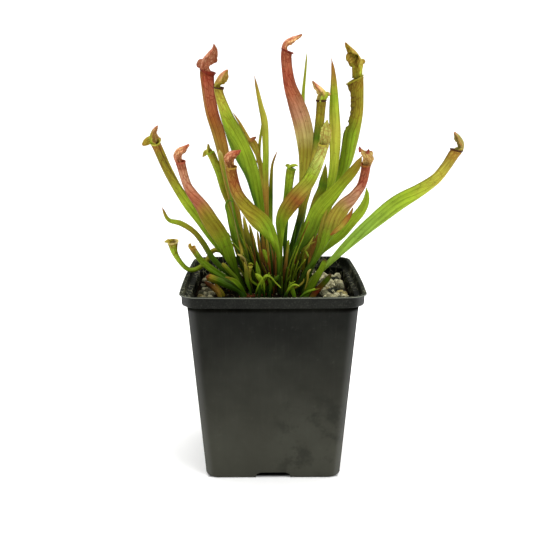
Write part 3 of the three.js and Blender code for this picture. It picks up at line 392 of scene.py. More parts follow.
# Pitchers: a tube with a keel down its front, an open mouth and a hood.
# route: x, y, z and half width of tube and keel, from the soil to the mouth.
# bore: tube radius at the mouth. side: the way the keel points low down, face:
# the way the mouth points, in degrees from +X towards the viewer.
# rise: how much higher the back of the mouth is than its front, per mm.
# spout: how far the lip juts out in front; flare: the share of it that the tube
# has already; roll: how far the lip is rolled out; torn: depth of the tears in
# the keel's edge.
# hood: forward, up, half width and curl, from the centre of the mouth. turn: its
# turn from the face; grip: its curl at the neck; wave: the height of its waves,
# per half width; pale: the share of the lining's colour underneath.
# ears: flaps beside the hood, each as forward, across, up and half width.
# tones: colours from the soil to the mouth, by share of the length; hood_tones
# and ear_tones: the same along the hood and the ears.
# flush: tones on one side: 1 for the keel's side or -1 for the back, tone,
# amount, and the shares of the length where it begins and ends.
# lip, throat, margin and lining: the colours of those parts. least: the share
# of its colour that the leaf keeps low down. slim: a blade's width, as a share.
PITCHERS = {
    "pitcher_tall_red": leaf(
        slot="leaf_red", bore=4.3, face=30, rise=0.25, spout=1.2, lip="wine", lining="blush",
        flush="-1 olive .7 .3 1.2, 1 wine .4 .55 1.2",
        route="""-9.5 12 foot 1.7, -11 12 112 1.7, -13.5 12.5 124.5 1.8, -20 14 142.5 2.3,
        -23.5 16 160 2.6, -27 18 174.5 3.1, -30 20 188.5 3.6, -32.3 21 201.5 4.1, -35 22 212.5 4.4,
        -39 24 226 4.4, -41.5 26 246 4.7, -41.5 26 250 4.7""",
        hood="""-3.9 -2 3.2 .85, -4.3 2.5 2.8 .85, -3 6.8 5 .85, 1 11 5.4 .85, 4.3 13.8 3.2 .85,
        5.2 15.4 1.1 .85, 5.3 16.6 .3 .85""",
        ears=["-2.6 0 4.6 1.5, -4.6 1 4.8 3, -6.8 1 4.2 3.2, -8.8 1 3.6 1.3"],
        tones="""0 soot, .08 green, .16 fresh, .34 olive, .5 tan, .68 tan, .8 rust, .9 pink, .97 rose,
        1 rust""",
        hood_tones="0 pink, .3 blush, .6 blush, .85 pink, 1 wine",
    ),
    "pitcher_left_green": leaf(
        bore=2.6, face=35, rise=0.3, spout=0.6, lip="brown", margin="olive",
        # The back's flush is painted shade on the leaf's shadowed side
        flush="-1 stalk .95 .12 .95",
        route="""-4 10 foot 1.7, -4.2 10 112 1.7, -5.3 9 136 2, -7.2 8 159.5 2.6, -10 6 174.5 3.8,
        -13 4 187 4.8, -19.5 0 203 6.5, -26.2 -3 219 4.9, -31.5 -5 234.5 3.1, -32.4 -5 239.5 3""",
        hood="""-2.3 -1.5 1.9 .9, -2.3 1 1.7 .9, -1 3.8 3 1.1, 2.4 6.8 3.6 1.25, 6 8.4 2.6 1.2,
        9.2 9 .4 .8""",
        tones="0 soot, .1 deep, .3 green, .5 fresh, .72 lime, .86 lime, .95 yellow, 1 straw",
        hood_tones="0 lime, .4 straw, .75 blush, 1 pink",
    ),
    "pitcher_front_left": leaf(
        slot="leaf_red", bore=3.1, face=35, rise=0.15, spout=0.8, roll=0.05, pale=0.45,
        lip="tan", margin="rust", lining="blush",
        flush="-1 straw .7 .5 1.2, 1 wine .45 .75 1.2",
        route="""4 -13 foot 1.3, 4 -13 114.5 1.3, 4 -14 133 1.35, 3 -15 141.5 1.7, 0 -17 149 3.3,
        -3.7 -19 155.5 4.9, -8.7 -21 161.5 5.8, -15.5 -24 169.5 4.6, -20.5 -27 177.5 4.1, -23 -29 186 3.8,
        -24.5 -30 194 3.5""",
        hood="""-2.8 -1.5 3 .9, -3.2 2.5 3.4 .9, -2.2 6.6 4.8 .9, 1.8 9 4.4 .9, 5.8 9.4 2.6 .9,
        9.4 9.6 .4 .9""",
        tones="""0 soot, .15 deep, .3 green, .42 fresh, .55 fresh, .68 olive, .78 olive, .86 tan,
        .92 rust, .97 tan, 1 tan""",
        hood_tones="0 straw, .3 tan, .6 blush, .85 pink, 1 rose",
    ),
    "pitcher_far_left": leaf(
        slot="leaf_olive", bore=2.9, face=60, rise=0.35, spout=0.8, turn=-30, grip=1.5,
        lip="yellow", margin="olive", lining="blush",
        flush="-1 brown .3 .6 1.2",
        route="""-15.5 6 foot 1.6, -18 6 110 1.7, -21.4 5 117.5 1.8, -29.4 3 132.5 2, -38.5 0 145.5 2.4,
        -46 -4 158.5 3, -53.5 -8 170.5 3.4, -63 -12 189 3.4, -69 -16 204.5 3.2, -70.4 -17 208 3.3""",
        hood="-2.4 -1 3 .9, -2.2 2 3.6 .9, -.4 5 3.2 .8, 2.4 7.2 2.7 .6, 5 8.4 1.8 .4, 7.4 9 .4 .3",
        ears=["-1.6 0 2.2 2, -2 -2.6 2 2.3, -2.4 -5 1.6 1.9, -2.8 -7.2 1.2 .7"],
        tones="0 soot, .1 deep, .25 green, .45 fresh, .65 lime, .8 olive, .93 olive, 1 tan",
        hood_tones="0 lime, .35 lime, .55 straw, .75 blush, 1 pink",
        ear_tones="0 straw, .7 yellow, 1 tan",
    ),
    "pitcher_left_pink": leaf(
        slot="leaf_red", bore=2.6, face=30, rise=0.15, spout=0.6, roll=0.05, lip="rose",
        lining="peach",
        flush="-1 wine .4 .55 1.2, 1 blush .3 .6 1.2",
        route="""-15.5 -3 foot 1.6, -18.4 -3 111.5 1.7, -20.7 -4 118.5 1.8, -23.6 -6 126 2.2,
        -26.5 -9 135 3.4, -29.7 -12 144 4.5, -33.7 -15 152.5 5.3, -38.6 -18 161 5.2, -42.7 -21 169.5 4.3,
        -47.8 -24 177.5 3.5, -51 -25.5 184 2.9, -54.2 -28 197 3""",
        hood="""-2.4 -1.5 2.3 .9, -3 1.6 2.6 .95, -2.6 4.9 3.7 .95, .6 7.7 4 .95, 5 8.8 2.7 .9,
        9.6 9.8 .4 .85""",
        tones="""0 soot, .1 green, .25 green, .45 fresh, .55 olive, .64 olive, .7 tan, .75 pink, .81 pink,
        .92 blush, 1 pink""",
        hood_tones="0 pink, .3 blush, .7 peach, 1 rose",
    ),
    "pitcher_low_over_rim": leaf(
        slot="leaf_olive", bore=3, face=20, rise=0, spout=0.6, least=0.9, lip="cream",
        throat="olive", margin="lime",
        route="""-20.3 11.8 foot 1.6, -21.3 11.5 112 1.7, -24.6 10.5 124.5 1.6, -30.5 8.5 133.5 1.6,
        -35.8 7 136.5 1.6, -39.3 6.5 135.5 1.6, -42 6 131 1.6, -46 6 126.2 1.6, -51.2 5 123.8 1.6,
        -55.5 3 125 1.6, -59.6 0 130.5 1.7, -62.6 -3 137.5 2.2, -63.4 -5 144.5 3.4""",
        hood="-2.3 -1 2.2 .1, -2.9 .2 2.3 0, -3.8 .6 2.2 -.1, -4.8 .2 1.5 -.1, -5.8 -.6 .5 0",
        tones="0 soot, .2 green, .5 olive, .7 fresh, .85 lime, .95 lime, 1 yellow",
        hood_tones="0 lime, .6 yellow, 1 lime",
    ),
    "pitcher_tall_center": leaf(
        slot="leaf_red", bore=3, face=15, rise=0.3, spout=1.4, pale=0.9, lip="wine",
        margin="cream", lining="peach",
        flush="-1 wine .35 .6 .95, 1 olive .25 .4 .9",
        route="""11.8 17.5 foot 1.7, 12.6 17.5 112 1.7, 16 18.5 134 1.9, 19.3 19 154 2.4, 21.2 22 171 3.5,
        23 26 193 5.1, 22.3 28 205.5 5.9, 20 30 217.5 6.1, 16 32 230 5.5, 11.8 33 242 4.1, 9.4 34 258 3.4,
        9.7 34 263 3.3""",
        hood="-2.7 -1.5 2.1 1, -2.8 2.4 2 1, -1.2 5.9 3 1, 2.6 8.3 3 1, 6.4 9.5 1.8 1, 9.6 10.6 .4 1",
        tones="""0 soot, .1 deep, .28 fresh, .4 lime, .5 yellow, .6 straw, .66 cream, .74 blush, .83 pink,
        .9 rose, .96 pink, 1 pink""",
        hood_tones="0 pink, .4 blush, .75 blush, 1 wine",
    ),
    "pitcher_center_olive": leaf(
        slot="leaf_olive", bore=2.9, side=180, face=150, rise=0.25, spout=0.6, turn=-25, roll=0.05,
        pale=0.8, lip="straw", throat="lime", margin="yellow", lining="mint",
        flush="-1 rust .3 .5 .9, 1 lime .25 .5 1.2",
        route="""5.6 -4 foot 1.5, 5.6 -4 112 1.5, 5 -5 134.5 1.5, 5.2 -6 147 2, 5.6 -8 157.5 3.6,
        8.8 -10 165.5 4.9, 15.2 -13 174.5 5.3, 21.7 -16 184 4.6, 25.7 -18 192.5 4.2, 28.5 -20 200 3.6,
        30.6 -21 206.5 3.2""",
        hood="""-2.4 -1.5 2.6 1.05, -2.4 2 3.2 .8, -1 6 4 .6, 1.4 9.6 3.4 .5, 3.8 12.6 1.9 .5,
        5.6 14.8 .4 .5""",
        tones="""0 soot, .15 green, .35 fresh, .5 fresh, .58 olive, .66 rust, .73 straw, .82 lime,
        .92 mint, 1 mint""",
        hood_tones="0 mint, .5 mint, 1 lime",
    ),
    "pitcher_center_dark": leaf(
        slot="leaf_dark_green", bore=2.8, side=180, face=160, rise=0.1, spout=0.5, grip=1.7, lip="brown",
        lining="cream",
        route="""8.9 12.6 foot 1.6, 9.4 12.6 112 1.6, 12.6 12.5 135 1.8, 18.1 12 156 2.1, 22.5 12 173 2.5,
        25.8 13 186.5 2.9, 28.4 14 199 3, 29.5 15 209.5 3.1, 30.5 16 218.5 3.1, 31.6 16 231.5 3.1""",
        hood="""-2.3 -1.7 2.8 1.1, -2.8 1.5 3 1.4, -3 4.2 3.4 1.1, 0 7.2 3.6 .9, 4 9.4 2.8 .8,
        7.4 11.4 .5 .4""",
        ears=["-1.6 0 2.6 2.2, -3.6 0 4.2 1.7, -5.2 0 4.4 1, -6 0 4.6 .3"],
        tones="0 soot, .2 green, .4 deep, .52 olive, .65 olive, .75 straw, .82 green, .93 olive, 1 olive",
        hood_tones="0 lime, .4 lime, .65 cream, .8 blush, 1 pink",
    ),
    "pitcher_tall_right": leaf(
        slot="leaf_olive", bore=4.4, side=180, face=155, rise=0.52, spout=2.6, flare=0.85, torn=1.7,
        wave=0.3, pale=0.45, lip="olive", margin="olive",
        flush="1 brown .35 .55 1.2, -1 yellow .45 .55 1.2",
        route="""19.5 20 foot 1.7, 22.5 20 110 1.7, 29 20 133.5 1.8, 36 21 157 2.2, 41 22 173.5 2.6,
        46 23 185 3.2, 48.7 24 193 4.4, 50.4 25 201 5, 52 26 209.5 5.5, 54 27 217.5 5, 55.2 28 226 4.8,
        55.2 29 238 4.8, 55 30 245 4.8""",
        hood="""-3.8 .8 3.4 1.2, -4.1 6.2 3.6 1.4, -4.8 10 4.3 1.3, -1.6 15 5 .9, 2.2 18.8 4.2 .8,
        5 20.8 2 .8, 7.6 22.8 .5 .6""",
        ears=[
            "-3.6 0 11.4 1.6, -5 0 11.2 2, -6.4 0 11 1.7, -7 0 10.8 .8",
            "0 0 16 2.4, 2.6 1 14 3.8, 5 1.2 12.4 3.4, 6.8 1 10.6 1.2",
        ],
        tones="0 soot, .12 green, .35 olive, .5 fresh, .64 fresh, .76 fresh, .86 olive, 1 olive",
        hood_tones="0 lime, .35 yellow, .65 straw, .85 straw, 1 rust",
    ),
    "pitcher_right_pink": leaf(
        slot="leaf_red", bore=2.8, side=180, face=130, rise=0.1, spout=0.5, pale=0.85, lip="rust",
        lining="cream",
        flush="-1 wine .35 .7 1.2, 1 tan .4 .5 .9",
        route="""14.8 -7 foot 1.6, 15.3 -7 112.5 1.6, 20.2 -7 123 1.7, 27.8 -7 134 1.9, 32 -7 142.5 2.2,
        35.1 -7 149.5 3.6, 38.1 -8 155.5 5.2, 40.7 -9 162 5.6, 43.9 -10 167.8 5.4, 48.5 -12 173 4.6,
        52 -14 178 3.9, 54.6 -15 182.5 3.3, 56 -16 189 3.2, 56.5 -17 194 3.1""",
        hood="-2.5 -1.5 2.5 -.25, -1.4 2 3.4 -.3, .8 4.8 4.3 -.3, 3.1 7.4 4.7 -.3, 4.9 9.2 4.5 -.3",
        ears=[
            "3.8 -2.4 8 1.5, 4.7 -3 9.8 .9, 5.1 -3.2 11.2 .25",
            "3.8 2.4 8 1.5, 4.7 3 9.8 .9, 5.1 3.2 11.2 .25",
        ],
        tones="""0 soot, .12 deep, .3 green, .5 fresh, .6 straw, .68 straw, .76 blush, .82 blush, .9 rose,
        .95 pink, 1 pink""",
        hood_tones="0 pink, .35 cream, .8 cream, 1 rust",
        ear_tones="0 blush, .5 rose, 1 wine",
    ),
    "pitcher_far_right": leaf(
        bore=2.9, side=180, face=165, rise=0.45, spout=0.8, lip="brown",
        margin="rust", lining="sage",
        route="""18.5 -10 foot 1.6, 19.8 -10 111.5 1.6, 24.5 -11 120 1.7, 31 -12 127.5 1.8,
        37.5 -14 134.5 2, 45 -16 143 2.9, 54.5 -19 153 3.9, 65 -22 163 4.7, 76 -25 172.5 5,
        87 -27 179.5 4.1, 96 -29 186.5 3.4, 101.2 -30 193.5 3.2, 105 -31 200 3.2, 107.4 -31 203.5 3.2""",
        hood="-2.3 -.5 2.1 .9, -2.4 2.6 2.1 .9, -.2 5.6 2.8 1, 4 7 2.5 1, 8.2 7.2 .5 .8",
        tones="0 soot, .05 deep, .14 fresh, .28 jade, .5 jade, .72 lime, .86 yellow, .93 straw, 1 tan",
        hood_tones="0 straw, .4 sage, .85 sage, 1 blush",
    ),
    "pitcher_small_green": leaf(
        slot="leaf_dark_green", bore=2.5, face=20, rise=0.1, spout=0.4, least=0.7, lip="fresh",
        margin="fresh", lining="lime",
        route="""9.2 8 foot 1.3, 9.2 8 112 1.3, 8.4 7 143 1.5, 9 6 164 2.3, 10.4 6 176 2.7,
        11.4 6 185.5 2.9, 12.2 6 189.5 2.9""",
        hood="-2 -1 2.2 .5, -1.7 .8 2.6 .5, 0 2.4 2.6 .5, 2 3 2 .5, 3.8 2.6 .8 .5",
        ears=["-1.4 0 .6 1.2, -2.8 0 1.2 1.4, -4.2 0 .8 .5"],
        tones="0 soot, .4 deep, .65 green, .85 fresh, 1 lime",
        hood_tones="0 lime, 1 lime",
    ),
    "pitcher_thin_left": leaf(
        bore=2.4, face=20, rise=0.1, spout=0.3, least=0.7, lip="lime",
        margin="lime", lining="yellow",
        route="""-14 20.5 foot 1.4, -16.5 20.5 112 1.5, -21.9 21 136 1.7, -24.1 22 150 2.3,
        -27.4 23 162.5 2.3, -31.6 24 174 2.7, -34.8 25 185 2.7, -38.9 26 195 2.7, -40.5 26 198 2.7""",
        hood="-1.8 -1 2.3 .7, -1.8 1 3.2 .7, -.9 2.8 2.8 .6, .6 4.6 1.5 .5, 1.6 5.8 .35 .5",
        ears=["-1 0 1 1.8, -3 0 1.4 1.8, -5 0 .6 1.1, -6.4 0 0 .3"],
        tones="0 soot, .2 green, .5 fresh, .7 olive, .85 lime, 1 yellow",
        hood_tones="0 lime, .5 yellow, 1 rust",
        ear_tones="0 lime, .6 yellow, 1 straw",
    ),
    "pitcher_low_left": leaf(
        slot="leaf_olive", bore=1.6, face=40, rise=0.1, spout=0.4, least=0.8, lip="tan",
        margin="tan", lining="yellow",
        route="""-17 -13 foot 1.5, -19.3 -14 115.5 1.7, -30 -16 123.5 2.1, -38 -18 129.7 2.3,
        -44 -20 136 2.4, -49 -22 144 2.3""",
        hood="-1.7 -1 1.4 .4, -1.9 1 1.3 .4, -1.2 2.6 1.5 .4, .6 3.2 .5 .4",
        tones="0 brown, .3 deep, .6 green, .9 fresh, 1 straw",
        hood_tones="0 straw, 1 olive",
    ),
    "pitcher_tiny_front": leaf(
        bore=0.95, face=80, rise=0.1, spout=0.3, least=0.95, lip="yellow",
        throat="olive", margin="lime",
        route="""-4.5 -18 foot .75, -5.6 -18 114 .75, -8.6 -20 119 .75, -12.6 -21 122.5 .75,
        -14 -22 127 .8, -13.6 -22 132 1.2""",
        hood="-.8 -.8 .9 .5, -1 .8 .9 .5, 0 2.2 1.6 .5, 1.4 2.6 .4 .5",
        tones="0 soot, .4 deep, .7 fresh, 1 straw",
        hood_tones="0 straw, 1 fresh",
    ),
}

# Blades, stems and the two dead pieces: side, bend, route and tones, as above.
BLADES = {
    "leaf_right_broad": blade(180, 0.18, """7.7 2 foot 1.9, 8 2 112 2, 9.5 2 124 2.3, 15.3 2 136.5 2.9,
        23.5 3 149 4, 27.5 3 159.5 4.8, 32.5 3 167 5.4, 35.8 3 170.5 5, 43.8 4 179.5 3.7, 50 4 186.5 3.2,
        54 4 192 2.4, 56.6 4 197.5 .8""",
        "0 soot, .2 deep, .38 green, .5 fresh, .62 lime, .78 lime, .9 olive, 1 tan"),
    "leaf_right_curved": blade(180, 0.2, """18 5 foot 1.6, 18.5 5 111 1.6, 25.4 5 126.5 2,
        31.5 5 135.5 2.3, 36.3 5 140 2.6, 44.6 5 147 2.9, 51 4 155.3 3.2, 56.4 4 161.8 3.2,
        59.3 3 167.7 2.6, 60.3 3 172.8 1.6, 59.9 3 177.6 .6""",
        "0 soot, .1 deep, .25 fresh, .5 fresh, .75 lime, 1 lime"),
    "blade_tall_right": blade(0, 0.15, """18 13 foot 1.6, 19 12.5 111 1.6, 24.4 12 135 1.7,
        30.7 12 155.5 1.9, 35.1 13 170.5 2.4, 38.8 14 181.5 2.8, 40.5 16 193.5 3.1, 40.8 18 210 3.8,
        40.2 20 226 3.3, 39.8 22 242 2.1, 39.3 23 250 1.3, 38.2 24 257.7 .5""",
        "0 soot, .12 deep, .3 fresh, .5 lime, .72 yellow, .85 lime, .93 tan, 1 rust"),
    "blade_center_left": blade(0, 0.15, """-.7 17 foot 1.5, -.9 17 112 1.5, -2 20 140.5 1.5,
        -3.3 22 156.5 1.8, -3.9 24 168 2, -4.1 28 184.5 2.1, -4 31 201 2.1, -4.8 34 217.5 2.3,
        -7.2 36 228 1.7, -9.3 38 237.5 1.2, -11.4 40 247.5 .4""",
        "0 soot, .1 deep, .26 fresh, .38 tan, .48 tan, .6 lime, .78 yellow, .92 straw, 1 rust"),
    "blade_behind_center": blade(0, 0.1, """13.5 30 foot 1.4, 15 31 112 1.4, 20 36 151.5 1.4,
        21.4 42 191.5 1.4, 21.3 44 215 1.4, 21.3 45 234 1.2, 22.7 46 250.5 .8, 23.8 46 263.5 .4""",
        "0 soot, .3 green, .6 olive, .8 lime, 1 yellow"),
    "blade_dark_right": blade(0, 0.2, """14.5 8 foot 1.5, 15.2 8 112 1.5, 17 8 135 1.5, 20.8 9 149 1.6,
        25.3 9 160 2, 28.8 9 169 2.6, 31.9 9 175.5 2.8, 33 9 181 2.6, 33.9 9 187 1.6, 34.2 9 192.5 .4""",
        "0 soot, .3 green, .55 fresh, .72 olive, .85 green, 1 olive", slot="leaf_dark_green"),
    "blade_front_right": blade(0, 0.2, """18.5 -1.5 foot 1.6, 19 -2 112 1.6, 24.3 -2 125 1.9,
        28.1 -2.2 133.7 1.9, 29.9 -2.4 141.6 1.8, 30.8 -2.6 149.5 1.6, 32.4 -2.8 157 1.4,
        34.6 -3 164.5 .5""", "0 deep, .3 green, .6 fresh, .85 straw, 1 straw"),
    "blade_narrow_dark": blade(0, 0.1, """2 11 foot 1.3, 1.9 11 112 1.3, .6 12 135.5 1.3, -.7 13 152 1.3,
        -.8 14 169 1.4, -.5 15 181.5 1.2, .4 16 191.5 .8, 3.5 16 200 .4""",
        "0 deep, .3 green, .5 lime, .7 green, .88 olive, 1 rust", slot="leaf_dark_green"),
    "leaf_curled_left": blade(0, 0.3, """-22.5 0 foot 1.3, -23.5 0 113 1.4, -26.8 0 120.5 1.5,
        -33.3 0 126.5 1.7, -39.6 0 134 1.8, -44.5 0 142.5 1.9, -50.6 1 150 1.8, -58.7 2 155 1.8,
        -66.5 2 157.5 1.3, -70.3 2 165.5 .6""",
        "0 soot, .2 deep, .45 green, .7 olive, .88 lime, 1 rust", least=0.8, slot="leaf_olive"),
    "leaf_curled_small": blade(0, 0.3, """-14.6 14.5 foot 1.3, -16.8 13.5 112 1.3, -24.2 8.5 139.5 1.4,
        -26.6 6 152 1.5, -28.3 5 161 1.2, -29.6 4.5 166 .8, -28 4 169.4 .6, -24.6 3.6 168.6 .45""",
        "0 soot, .5 green, .8 fresh, 1 green", least=0.7),
    "leaf_cut_left": blade(0, 0.3, """-16.5 -20 foot 1.8, -19.6 -21 115 1.9, -29.4 -24 121.5 2.4,
        -40.5 -26 126.8 2.5""",
        "0 soot, .3 deep, .8 green, .93 olive, 1 wine", least=0.45, slot="leaf_dark_green"),
    "leaf_short_left": blade(0, 0.2, """-21 -7 foot 1.3, -22 -8 118 1.4, -26.6 -9 125 1.6,
        -31.8 -10 131.5 1.4""", "0 soot, .4 green, .85 fresh, 1 straw", least=0.5),
    "leaf_tiny_yellow": blade(0, 0.2, """-28.5 -12 foot 1.1, -31.6 -12 112 1.1, -34.6 -13 116.5 1,
        -36.4 -14 120.4 .6""", "0 deep, .5 olive, .8 straw, 1 amber", least=0.8, slot="leaf_olive"),
    "leaf_tiny_pointed": blade(0, 0.2, """-6.4 -11.5 foot 1.1, -6.8 -12 116 1.2, -8.6 -12 123.5 1.5,
        -9.7 -13 129 1.2, -9.9 -13 133.5 .4""",
        "0 soot, .5 fresh, .8 green, 1 deep", least=0.8),
    "leaf_tiny_arched": blade(0, 0.3, """-8.5 -25 foot 1.2, -8.5 -25 116 1.3, -7 -25 123 1.6,
        -4.4 -25 126.2 1.7, -1.2 -25 126 1.4, 1.8 -25 122.6 1, 5.2 -25 119.2 .9""",
        "0 soot, .3 soot, .5 deep, .62 fresh, 1 lime", least=0.95, slim=0.45),
    "leaf_blunt_right": blade(180, 0.25, """19 -18 foot 1.8, 21 -19 113 2, 25 -20 120.5 2.2, 29 -21 128 2,
        32.6 -22 136.5 1.5""",
        "0 soot, .3 green, .75 fresh, .94 fresh, 1 brown", least=0.8),
    "leaf_low_right": blade(180, 0.25, """22 -24 foot 1.5, 24.4 -24 112.5 1.7, 29.5 -25 120 1.9,
        33.6 -26 125 1.6, 35.6 -26 128.3 .8""",
        "0 soot, .25 green, .55 wine, .85 green, 1 brown", least=0.6, slot="leaf_dark_green"),
    "leaf_withered_pale": blade(0, 0.3, """20.2 -14.5 foot .9, 20.6 -15 114 .9, 22 -15 121 1,
        22.4 -15 126 1.3, 24 -15 128.6 1""",
        "0 deep, .5 olive, .85 straw, 1 cream", least=0.9, slim=0.6, slot="leaf_olive"),
    "leaf_tiny_wedge": blade(0, 0.2, """13.5 -24 foot .9, 13.6 -24 112 1.1, 12 -24 118 1.5,
        10.4 -24 123 .4""", "0 deep, .6 green, 1 fresh", least=0.8),
    "stem_brown_left": blade(0, 0, "-5.5 1 foot 1.1, -5.7 1 112 1.1, -6.2 1 123.5 1.1, -6.4 1 137 1",
        "0 brown, .4 rust, .85 tan, 1 rust", slot="dead_leaf"),
    "stem_brown_center": blade(0, 0, ".5 4 foot 1.3, .5 4 112 1.3, -.1 4 129 1.3, -2.7 3 144 1.2",
        "0 brown, .5 rust, .8 tan, 1 tan", slot="dead_leaf"),
    "stem_red_right": blade(0, 0, """8.2 -9 foot 1.1, 8 -9 113 1.1, 8.3 -9 126.5 1.1, 9 -9.5 136 1,
        10.2 -10 146.5 .9""", "0 wine, .3 rust, .7 tan, 1 fresh", slot="dead_leaf"),
    "leaf_dark_narrow_left": blade(0, 0.1, """-11.8 0 foot 1.3, -12 0 112 1.3, -13.7 0 134.5 1.6,
        -16.2 -1 148 1.9, -18.2 -2 160.5 .6""",
        "0 soot, .6 deep, .9 olive, 1 straw", slot="leaf_dark_green"),
    "leaf_dark_narrow_center": blade(0, 0.1, """-9.4 5.5 foot 1.2, -9.4 5.5 112 1.3, -10.2 5 129 1.5,
        -12.2 5 141.5 1.6, -14.7 4 154 .5""",
        "0 soot, .5 deep, .9 olive, 1 straw", slot="leaf_dark_green"),
    "leaf_small_center": blade(0, 0.2, """-.6 -6 foot 1.1, -.8 -6 114 1.1, -2.8 -7 123 1.3,
        -5 -7 127.6 1.3, -5.8 -7 131 .5""", "0 soot, .5 green, .8 brown, 1 brown"),
    "reed_dead": blade(0, 0.1, """-3.4 25 foot 1.4, -3.5 25 112 1.4, -4.7 29 145.5 1.4, -5.6 31 167 1.5,
        -6.9 34 184.5 1.7, -9.2 35 195 1.7, -11.9 35 200.5 1.7, -15.5 35 206.5 1.3, -21 35 216.5 .9,
        -25.9 35 224 .4""", "0 deep, .25 fresh, .42 tan, .6 straw, .75 straw, 1 tan", slot="dead_leaf"),
    "leaf_dead_front": blade(0, 0.3, """-32.6 -16 109.5 1.2, -34 -16 113.5 1.6, -37.4 -16.5 117.2 1.9,
        -40.6 -17 119.6 1.3, -42.4 -17 121.4 .6""",
        "0 olive, .4 tan, .75 brown, 1 brown", slot="dead_leaf"),
}

# Rhizome: x, y, z and radius of the creeping stem in the middle of the clump.
RHIZOME = """-21 -17.5 111.5 1.4, -17 -17 110.5 3, -11 -16 109 4, -5 -13 107.5 4.6, 2 -9 107 4.8,
    9 -4 107 4.6, 14 1 107 3.6, 16 3.5 107 1.6"""

# The shrivelled pitcher that hangs on the dead reed, and a thin strip across it.
REED_BITS = [
    blade(0, 0.4, """-17.8 35 203.4 .6, -16.2 35 205.1 1.4, -13.5 35 205.4 1.7, -11.2 35 203.1 1.8,
        -9.9 35 199.1 1.9, -9.2 35 194.4 1.5, -9.9 35 190.4 .5""",
        "0 olive, .3 tan, .6 straw, .8 tan, 1 rust"),
    blade(0, 0.3, "-15.2 34 204.8 1.1, -13.2 34 206.1 1.3, -11.5 34 207.1 1, -10.3 34 207.9 .3",
        "0 tan, .6 pink, 1 brown"),
    blade(0, 0.3, "-17.2 36 203.7 .9, -17.5 36 201 .9, -15.6 36 198.4 .8, -13.3 36 197 .5",
        "0 tan, .6 olive, 1 brown"),
    blade(0, 0.2, """-5 36 150 .8, -6 36 165.2 .9, -7.3 36 178.8 1, -8.2 36 192.3 1, -8.2 36 202.3 1,
        -6.8 36 212.3 .8, -5.8 36 220.1 .4""", "0 green, .5 olive, .8 yellow, 1 lime"),
]

# The dried, rolled edge beside the wing of the pink pitcher on the right.
DRY_EDGE = blade(60, 0.4, """36.2 -12 149.8 .4, 39.6 -13 153 1.6, 43.4 -14 157.6 2.1, 47 -15 162.6 1.6,
    49.4 -16 167.6 .4""", "0 rust, .2 tan, .4 straw, .55 tan, .75 rust, 1 tan")

